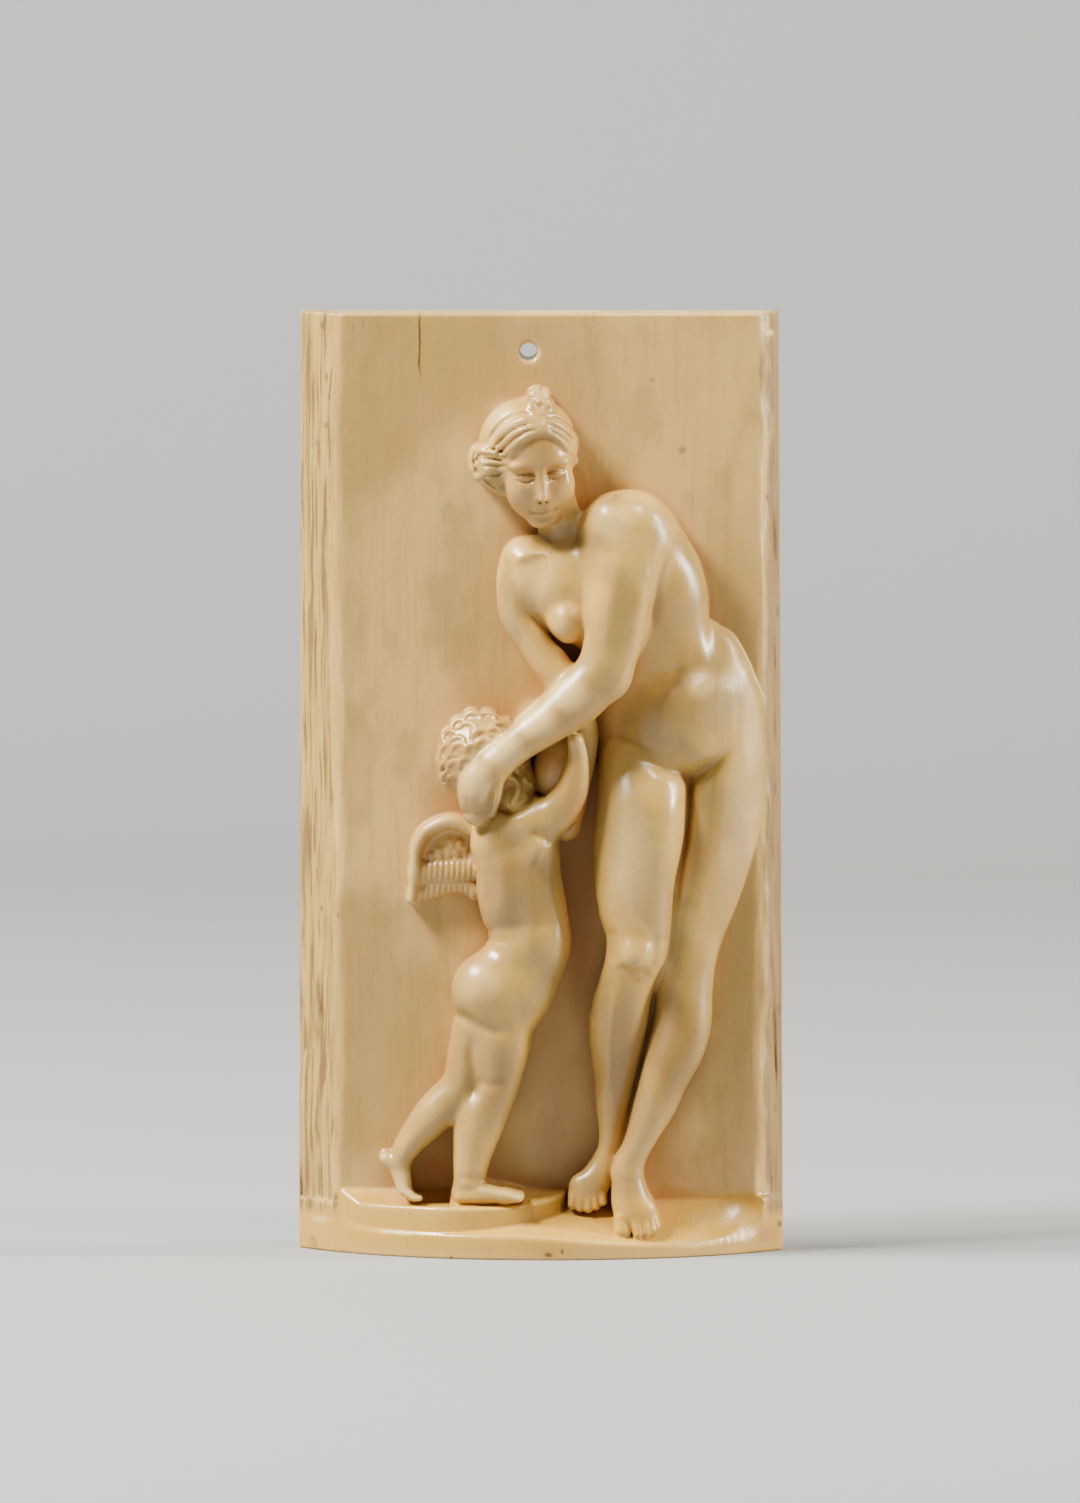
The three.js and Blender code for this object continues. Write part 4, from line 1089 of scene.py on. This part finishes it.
def halveLongEdges(sculpt):
    longest, back = finish["longestEdge"] / 1000, finish["carvedTo"] / 1000
    edges = [
        edge for edge in sculpt.edges
        if edge.calc_length() > longest and max(vertex.co.y for vertex in edge.verts) < back
    ]
    bmesh.ops.subdivide_edges(sculpt, edges=edges, cuts=1)
    bmesh.ops.triangulate(sculpt, faces=[face for face in sculpt.faces if len(face.verts) > 3])

def smoothFolds(sculpt):
    folds = [edge for edge in sculpt.edges if edge.calc_face_angle(0) > finish["fold"]]
    ends = (vertex for edge in folds for vertex in edge.verts)
    around = list({near for vertex in ends for face in vertex.link_faces for near in face.verts})
    for turn in range(finish["foldPasses"]):
        bmesh.ops.smooth_vert(
            sculpt, verts=around, factor=0.5, use_axis_x=True, use_axis_y=True, use_axis_z=True,
        )
    print("folded edges smoothed:", len(folds))

def evened(mesh):                # no long faces, so that the patina can follow the surface
    sculpt = bmesh.new()
    sculpt.from_mesh(mesh)
    fillHollows(sculpt)
    for turn in range(finish["halvings"]):
        halveLongEdges(sculpt)
    bmesh.ops.dissolve_degenerate(sculpt, dist=finish["sliver"] / 1000, edges=sculpt.edges)
    smoothFolds(sculpt)
    for face in sculpt.faces:
        face.smooth = True
    sculpt.to_mesh(mesh)
    sculpt.free()
    return mesh

# How much ivory stands around each point: 0.5 on a flat face, more in hollows, less on edges.
# The solid is averaged twice along each direction.
def crowding(field, reach):
    every = finish["feltCells"]
    half = max(1, round(reach / (every * block["step"])))
    solid = np.clip(0.5 - field[::every, ::every, ::every] / (every * block["step"]), 0, 1)
    for axis in (0, 1, 2, 0, 1, 2):
        margin = [(half + 1, half) if i == axis else (0, 0) for i in range(3)]
        total = np.cumsum(np.pad(solid, margin, mode="edge"), axis=axis, dtype=np.float64)
        count = solid.shape[axis]
        upper = np.take(total, range(2 * half + 1, 2 * half + 1 + count), axis=axis)
        lower = np.take(total, range(count), axis=axis)
        solid = ((upper - lower) / (2 * half + 1)).astype(np.float32)
    return solid

def feelSurface(mesh, field):
    places = np.empty(len(mesh.vertices) * 3)
    mesh.vertices.foreach_get("co", places)
    places = places.reshape(-1, 3) * 1000
    inBlock = np.stack([places[:, 0], places[:, 2], groundY - places[:, 1]], axis=1)
    near, middle, far = (
        fieldAt(crowding(field, reach), inBlock, finish["feltCells"]) for reach in finish["reach"]
    )
    felt = {"crease": 2 * near - 1, "hollow": 2 * middle - 1, "recess": 2 * far - 1, "edge": 1 - 2 * middle}
    for name, values in felt.items():
        layer = mesh.attributes.new(name, "FLOAT", "POINT")
        layer.data.foreach_set("value", np.clip(values, 0, 1).astype(np.float32))

mesh = evened(thinned(skinOf(plaque), finish["triangles"]))
feelSurface(mesh, plaque)
piece = bpy.data.objects.new("ivory_plaque", mesh)
bpy.context.scene.collection.objects.link(piece)
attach(piece, "root")
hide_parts("plaque")
print("ivory skin has", len(mesh.polygons), "faces")

ivory = {
    # colours as linear light
    "flesh": (0.43, 0.275, 0.078, 1),
    "cream": (0.60, 0.40, 0.130, 1),
    "pink": (0.49, 0.285, 0.095, 1),
    "figure": (0.50, 0.30, 0.055, 1),
    "gold": (0.53, 0.30, 0.042, 1),
    "olive": (0.31, 0.20, 0.04, 1),
    # painted shade, on the figures and the bark where less light falls
    "paintedShade": (0.22, 0.125, 0.034, 1),
    "bark": (0.35, 0.225, 0.045, 1),
    "barkPale": (0.42, 0.275, 0.062, 1),
    "barkDark": (0.16, 0.082, 0.018, 1),
    "veil": (0.35, 0.225, 0.062, 1),
    "honey": (0.39, 0.175, 0.038, 1),
    "amber": (0.20, 0.055, 0.008, 1),
    "brown": (0.10, 0.04, 0.010, 1),
    # pale rubbed ivory, also used as a painted highlight
    "wornAndHighlight": (0.68, 0.49, 0.20, 1),
    "roughness": 0.29,
    "roughnessSpread": (-0.06, 0.08),
    "dullRoughness": (0.62, 0.62, 0.62, 1),
    "refraction": 1.54,
    "subsurface": 0.14,
    "scatter": (1.0, 0.58, 0.32),
    "scatterDepth": 0.0011,      # metres
    "raggedBy": 0.0012,          # how far the borders of the marks wander, in metres
    "barkWander": 0.006,
    "barkLeft": (-0.0378, -0.0394),
    "barkRight": (0.0412, 0.0424),
    "barkAbove": (0.006, 0.0085),
    "frontOnly": (0.010, 0.006),           # depths over which the marks and the relief fade in
    "raised": (0.001, -0.003),
    "ledgeTop": (0.0128, 0.0100),
}

# Patterns in the ivory: [scale, stretch along the tusk, detail, lean]
patterns = {
    "ragged": (420.0, 0.6, 3.0, 0.0),
    "cloud": (30.0, 0.55, 3.0, 0.0),
    "blush": (47.0, 0.45, 3.0, 0.0),
    "mottle": (150.0, 0.5, 4.0, 0.0),
    "grain": (850.0, 0.05, 4.0, 0.0),
    "smoke": (95.0, 0.7, 5.0, 0.0),
    "stain": (58.0, 0.6, 5.0, 0.0),
    "streak": (620.0, 0.055, 4.0, 0.03),
    "fine": (1300.0, 0.04, 3.0, 0.03),
    "border": (260.0, 0.3, 4.0, 0.0),
    "ripple": (330.0, 0.6, 2.0, 0.0),
}

# Small marks of age, with painted shade and painted highlights: [across, seen, half width, half height,
# strength]
marks = {
    "brown": [
        (20.7, 163.1, 0.7, 0.7, 0.35), (26.3, 150.1, 1.0, 1.0, 0.45),
        (-22.5, 170, 0.32, 8.5, 0.9), (-34.8, 173, 0.2, 1.6, 0.4), (-33, 173.6, 0.2, 1.4, 0.4),
        (9.7, 175, 0.2, 1.6, 0.45), (-40.5, 173.2, 0.5, 1.2, 0.7), (-39.7, 163.4, 0.35, 1.1, 0.7),
        (-39.1, 159.8, 0.3, 0.8, 0.7), (-39.8, 154.5, 0.4, 1.0, 0.6), (-41.6, 151.2, 0.5, 0.9, 0.6),
        (-43.4, 139.6, 0.4, 1.2, 0.6), (-44.7, 92, 0.5, 1.2, 0.9), (-44, 86.2, 0.5, 0.9, 0.8),
        (-42.5, 79.8, 0.4, 0.9, 0.8), (-44, 78.7, 0.5, 0.8, 0.8), (-40.8, 65, 0.4, 1.0, 0.7),
        (-37.7, 63.9, 0.3, 0.8, 0.5), (-44.6, 8.5, 0.9, 1.3, 0.9), (-42.8, 3.4, 0.8, 0.7, 0.8),
        (-42.8, 2.2, 1.4, 1.8, 0.5), (-42, 1.2, 2.8, 0.5, 0.5), (-16.7, 0.4, 0.5, 0.5, 0.8),
        (1.3, 1.2, 1.1, 0.7, 0.85), (3.9, 1.6, 0.6, 0.6, 0.85), (41.9, 141.3, 0.5, 0.9, 0.7),
        (44.3, 6.3, 0.6, 0.9, 0.8), (43.9, 120, 0.4, 1.6, 0.6), (43.4, 87, 0.4, 1.5, 0.5),
        (44.2, 46, 0.5, 1.4, 0.6), (43.6, 28, 0.4, 1.2, 0.5), (-38.2, 11, 0.7, 1.5, 0.5),
    ],
    # mostly painted shade in the gaps and pockets between and under the figures
    "honey": [
        (7, 68, 4, 34, 0.85), (4, 30, 8, 20, 0.45), (42, 4.5, 2.6, 2, 0.7), (-19.8, 16.8, 3.6, 3.4, 0.8),
        (38, 11, 8, 1.6, 0.4), (5.6, 112.8, 2.6, 1.8, 0.9), (24.5, 12, 5, 2, 0.5), (2.6, 91.5, 2.8, 5.5, 0.9),
        (-21.5, 77, 2.6, 5, 0.55), (0, 14, 10, 2.4, 0.5),
    ],
    # wear by the hole, the top corner and the foot, then painted highlights on the lit tops of the figures
    "wornAndHighlight": [
        (42.4, 171.7, 1.0, 0.9, 0.9), (-2.3, 168.5, 2.9, 2.9, 0.5), (-27, 5, 4, 0.5, 0.8),
        (-41.4, 7.2, 3, 0.8, 0.7), (29, 2.8, 5, 0.6, 0.7),
        (13, 138, 5, 4, 0.5), (5, 106, 5, 4, 0.7), (-1, 101, 5, 4, 0.85), (-7, 95.6, 5, 4, 0.85),
        (-12, 90, 3.6, 5, 0.7), (-7, 156.4, 3.6, 4, 0.5), (36, 108.6, 3, 4, 0.5), (39, 98, 2, 9, 0.5),
        (29.5, 107.6, 3.6, 3.6, 0.5), (17, 76, 4.5, 14, 0.45), (-1, 127, 5, 5, 0.4), (-11, 52, 4.5, 4, 0.4),
        (34, 8, 9, 2.2, 0.3),
    ],
    # painted shade on the right-hand forms, after a small mark at the top corner
    "olive": [
        (41.6, 174.6, 1.4, 1.2, 0.9), (34, 120, 6, 30, 0.35), (36, 50, 6, 34, 0.5), (33, 84, 6, 10, 0.4),
    ],
    "paintedShade": [                   # painted shade, where the figures and the ground beside them lie in shadow
        (14, 39, 6.5, 18, 0.8), (25, 40, 7, 15, 0.9), (-4, 70, 10, 11, 0.75), (-8, 34, 9, 9, 0.55),
        (24, 101, 9, 8, 0.45), (25, 120, 6, 10, 0.4), (14, 120, 5, 7, 0.2), (33, 80, 6, 18, 0.3),
        (36, 40, 6, 30, 0.1), (4, 134.4, 6.5, 2.8, 0.8), (43.4, 90, 1.9, 100, 0.5), (42.4, 98, 1.1, 14, 0.5),
        (17, 61, 2.6, 3, 0.3), (17.4, 52.4, 3, 1.2, 0.4), (-16, 30, 4, 5, 0.25), (5, 10.6, 4, 1.6, 0.4),
    ],
}

class Shader:                    # adds nodes one after another, and links what they are given
    def __init__(self, name):
        self.material = bpy.data.materials.new(name)
        self.material.use_nodes = True
        self.tree = self.material.node_tree
        self.surface = self.tree.nodes["Principled BSDF"]
        self.across = 0

    def add(self, kind, settings=None, **sockets):
        node = self.tree.nodes.new("ShaderNode" + kind)
        self.across -= 180
        node.location = (self.across, 0)
        for key, value in (settings or {}).items():
            setattr(node, key, value)
        for key, value in sockets.items():
            self.give(node, key, value)
        return node

    def give(self, node, key, value):      # sockets go by name, or as i0, i1 by their number
        index = int(key[1:]) if key[0] == "i" and key[1:].isdigit() else key.replace("_", " ")
        socket = node.inputs[index]
        if isinstance(value, bpy.types.NodeSocket):
            self.tree.links.new(value, socket)
        else:
            socket.default_value = value

    def blend(self, share, first, second):
        return self.add("Mix", {"data_type": "RGBA"}, i0=share, i6=first, i7=second).outputs[2]

    def between(self, value, low, high, least=0.0, most=1.0):
        ramp = self.add("MapRange", {"interpolation_type": "SMOOTHSTEP"}, Value=value)
        for key, number in zip(("From Min", "From Max", "To Min", "To Max"), (low, high, least, most)):
            ramp.inputs[key].default_value = number
        return ramp.outputs[0]

    def maths(self, operation, first, second=0.0):
        return self.add("Math", {"operation": operation}, i0=first, i1=second).outputs[0]

def pattern(shader, place, name, output="Fac"):
    scale, stretch, detail, lean = patterns[name]
    mapping = shader.add("Mapping", Vector=place, Scale=(1, 1, stretch), Rotation=(0, lean, 0))
    return shader.add("TexNoise", Vector=mapping.outputs[0], Scale=scale, Detail=detail).outputs[output]

def markShare(shader, place, atFront, kind):       # where the marks of one kind lie
    share = None
    # the painted shade marks fade out more softly
    softEdge = 1.3 if kind == "paintedShade" else 1.05
    for across, seen, wide, tall, strength in marks[kind]:
        out = max(float(tuskFront(across)), 0.0) if seen < slab["footFrom"] else 0.0
        centre = across / 1000, 0, heightOf(seen, out) / 1000
        offset = shader.add("VectorMath", {"operation": "SUBTRACT"}, i0=place, i1=centre).outputs[0]
        offset = shader.add("VectorMath", {"operation": "MULTIPLY"}, i0=offset,
                            i1=(1000 / wide, 0, 1000 / tall)).outputs[0]
        away = shader.add("VectorMath", {"operation": "LENGTH"}, i0=offset).outputs["Value"]
        one = shader.between(away, softEdge, 0.35, 0, strength)
        share = one if share is None else shader.maths("MAXIMUM", share, one)
    return shader.maths("MULTIPLY", share, atFront)

def barkTint(shader, place, onRight):              # streaked along the tusk
    streak, fine = pattern(shader, place, "streak"), pattern(shader, place, "fine")
    tint = shader.blend(shader.between(streak, 0.42, 0.56), ivory["bark"], ivory["barkPale"])
    tint = shader.blend(shader.between(streak, 0.44, 0.35, 0, 0.85), tint, ivory["barkDark"])
    tint = shader.blend(shader.between(fine, 0.52, 0.62, 0, 0.85), tint, ivory["barkDark"])
    tint = shader.blend(shader.between(fine, 0.44, 0.34, 0, 0.3), tint, ivory["cream"])
    # the right bark side is darkened with painted shade
    return shader.blend(shader.maths("MULTIPLY", onRight, 0.6), tint, ivory["paintedShade"])

def makeIvory():
    shader = Shader("carved_ivory")
    place = shader.add("TexCoord").outputs["Object"]
    felt = {
        name: shader.add("Attribute", {"attribute_name": name}).outputs["Fac"]
        for name in ("crease", "hollow", "recess", "edge")
    }
    parts = shader.add("SeparateXYZ", i0=place).outputs
    atFront = shader.between(parts[1], *ivory["frontOnly"])
    raised = shader.between(parts[1], *ivory["raised"])
    shift = shader.add("VectorMath", {"operation": "SUBTRACT"},
                       i0=pattern(shader, place, "ragged", "Color"), i1=(0.5, 0.5, 0.5)).outputs[0]
    ragged = shader.add("VectorMath", {"operation": "MULTIPLY_ADD"}, i0=shift,
                        i1=(ivory["raggedBy"],) * 3, i2=place).outputs[0]

    # the ground
    mottle, grain = pattern(shader, place, "mottle"), pattern(shader, place, "grain")
    cloud, blush = pattern(shader, place, "cloud"), pattern(shader, place, "blush")
    tint = shader.blend(shader.between(cloud, 0.42, 0.56), ivory["flesh"], ivory["cream"])
    tint = shader.blend(shader.between(blush, 0.45, 0.7, 0, 0.7), tint, ivory["pink"])
    tint = shader.blend(shader.between(mottle, 0.5, 0.7, 0, 0.4), tint, ivory["olive"])
    tint = shader.blend(shader.between(grain, 0.5, 0.75, 0, 0.22), tint, ivory["honey"])

    # the figures and the ledge, and the rubbed edges, which are also lightened as a painted highlight
    tint = shader.blend(shader.maths("MULTIPLY", raised, 0.6), tint, ivory["figure"])
    smoke = shader.between(pattern(shader, place, "smoke"), 0.43, 0.58, 0, 0.95)
    tint = shader.blend(shader.maths("MULTIPLY", raised, smoke), tint, ivory["veil"])
    stain = shader.between(pattern(shader, place, "stain"), 0.53, 0.68, 0, 0.6)
    tint = shader.blend(shader.maths("MULTIPLY", raised, stain), tint, ivory["honey"])
    tint = shader.blend(shader.between(parts[2], *ivory["ledgeTop"], 0, 0.9), tint, ivory["gold"])
    # convex edges get paler: wear, and a painted highlight
    rubbedAndHighlit = shader.maths("MULTIPLY", raised, shader.between(felt["edge"], 0.12, 0.7, 0, 0.6))
    tint = shader.blend(rubbedAndHighlit, tint, ivory["wornAndHighlight"])

    # the bark sides
    border = shader.maths("SUBTRACT", pattern(shader, place, "border"), 0.5)
    across = shader.maths("ADD", parts[0], shader.maths("MULTIPLY", border, ivory["barkWander"]))
    onRight = shader.between(across, *ivory["barkRight"])
    bothSides = shader.maths("MAXIMUM", shader.between(across, *ivory["barkLeft"]), onRight)
    aboveLedge = shader.between(parts[2], *ivory["barkAbove"])
    barkShare = shader.maths("MULTIPLY", bothSides, aboveLedge)
    tint = shader.blend(barkShare, tint, barkTint(shader, place, onRight))

    # hollows darken, as patina and as painted shade, and marks of age, painted shade and painted highlights
    # lie where the photograph has them
    tint = shader.blend(shader.between(felt["recess"], 0.15, 0.85, 0, 0.85), tint, ivory["honey"])
    tint = shader.blend(shader.between(felt["hollow"], 0.15, 0.7, 0, 0.7), tint, ivory["honey"])
    tint = shader.blend(shader.between(felt["crease"], 0.24, 0.7, 0, 0.85), tint, ivory["amber"])
    for kind in ("olive", "paintedShade", "honey", "wornAndHighlight", "brown"):
        tint = shader.blend(markShare(shader, ragged, atFront, kind), tint, ivory[kind])
    shader.give(shader.surface, "Base Color", tint)

    low, high = (ivory["roughness"] + spread for spread in ivory["roughnessSpread"])
    polish = shader.between(mottle, 0.3, 0.7, low, high)
    dull = shader.maths("MAXIMUM", bothSides, shader.between(felt["recess"], 0.1, 0.45))
    dull = shader.maths("MAXIMUM", dull, shader.between(felt["edge"], 0.35, 0.8, 0, 0.45))
    shader.give(shader.surface, "Roughness", shader.blend(dull, polish, ivory["dullRoughness"]))
    for name, value in (("IOR", "refraction"), ("Subsurface Weight", "subsurface"),
                        ("Subsurface Radius", "scatter"), ("Subsurface Scale", "scatterDepth")):
        shader.give(shader.surface, name, ivory[value])
    ripple = shader.add("Bump", Height=pattern(shader, place, "ripple"), Strength=0.35, Distance=0.0003)
    bump = shader.add("Bump", Height=grain, Strength=0.2, Distance=0.0002, Normal=ripple.outputs[0])
    shader.give(shader.surface, "Normal", bump.outputs[0])
    return shader.material

piece.data.materials.append(makeIvory())
print("ivory coloured")

studio = {                       # metres
    "floorHalf": 1.6,
    "floorFront": 1.5,           # times its depth
    "floorDepth": 0.9,
    "sweepRadius": 0.35,
    "sweepSteps": 16,
    "backHeight": 1.4,
    "floorColour": (0.30, 0.31, 0.33, 1),
    "floorRoughness": 0.75,
    "aim": (0, 0, 0.09),
    # the lights: place, width, height, watts, colour
    "key": ((-1.0, -0.55, 1.4), 0.34, 0.34, 63, (1, 0.95, 0.85)),
    "rim": ((1.2, -0.06, 0.5), 0.12, 0.7, 33, (1, 0.94, 0.80)),
    "glance": ((-0.95, -0.12, 1.25), 0.34, 0.3, 52, (1, 0.94, 0.82)),
    "top": ((0.6, -0.5, 1.4), 0.2, 0.2, 12, (1, 0.95, 0.86)),
    "fill": ((-1.3, -1.5, 0.2), 0.7, 0.9, 2.6, (1, 0.93, 0.84)),
    "world": (0.64, 0.62, 0.60, 1),
    "worldStrength": 0.06,
}

def makeFloor():
    sweep = bmesh.new()
    half, front = studio["floorHalf"], -studio["floorFront"] * studio["floorDepth"]
    start = sweep.verts.new((-half, front, 0))
    end = sweep.verts.new((half, front, 0))
    edge = sweep.edges.new((start, end))
    def pull(edges, offset):
        grown = bmesh.ops.extrude_edge_only(sweep, edges=edges)["geom"]
        vertices = [item for item in grown if isinstance(item, bmesh.types.BMVert)]
        bmesh.ops.translate(sweep, verts=vertices, vec=offset)
        return [item for item in grown if isinstance(item, bmesh.types.BMEdge) and item.calc_length() > half]
    edges = pull([edge], (0, studio["floorDepth"] - front, 0))
    radius = studio["sweepRadius"]
    turned = bmesh.ops.spin(
        sweep, geom=edges, cent=(0, studio["floorDepth"], radius), axis=(1, 0, 0),
        angle=math.pi / 2, steps=studio["sweepSteps"], use_merge=False,
    )["geom_last"]
    edges = [item for item in turned if isinstance(item, bmesh.types.BMEdge)]
    pull(edges, (0, 0, studio["backHeight"]))
    bmesh.ops.remove_doubles(sweep, verts=sweep.verts, dist=1e-5)
    bmesh.ops.recalc_face_normals(sweep, faces=sweep.faces)
    for face in sweep.faces:
        face.smooth = True
    mesh = bpy.data.meshes.new("floor")
    sweep.to_mesh(mesh)
    sweep.free()
    floor = bpy.data.objects.new("floor", mesh)
    bpy.context.scene.collection.objects.link(floor)
    shader = Shader("pale_floor")
    shader.give(shader.surface, "Base Color", studio["floorColour"])
    shader.give(shader.surface, "Roughness", studio["floorRoughness"])
    mesh.materials.append(shader.material)

def makeLight(name):
    place, wide, tall, power, colour = studio[name]
    lamp = bpy.data.lights.new(name, "AREA")
    lamp.shape = "RECTANGLE"
    lamp.size = wide
    lamp.size_y = tall
    lamp.energy = power
    lamp.color = colour
    light = bpy.data.objects.new(name, lamp)
    bpy.context.scene.collection.objects.link(light)
    light.location = place
    light.rotation_euler = (Vector(studio["aim"]) - Vector(place)).to_track_quat("-Z", "Y").to_euler()

def makeWorld():
    world = bpy.data.worlds.new("studio")
    world.use_nodes = True
    background = world.node_tree.nodes["Background"]
    background.inputs[0].default_value = studio["world"]
    background.inputs[1].default_value = studio["worldStrength"]
    bpy.context.scene.world = world

makeFloor()
for name in ("key", "rim", "glance", "top", "fill"):
    makeLight(name)
makeWorld()
print("studio lit")
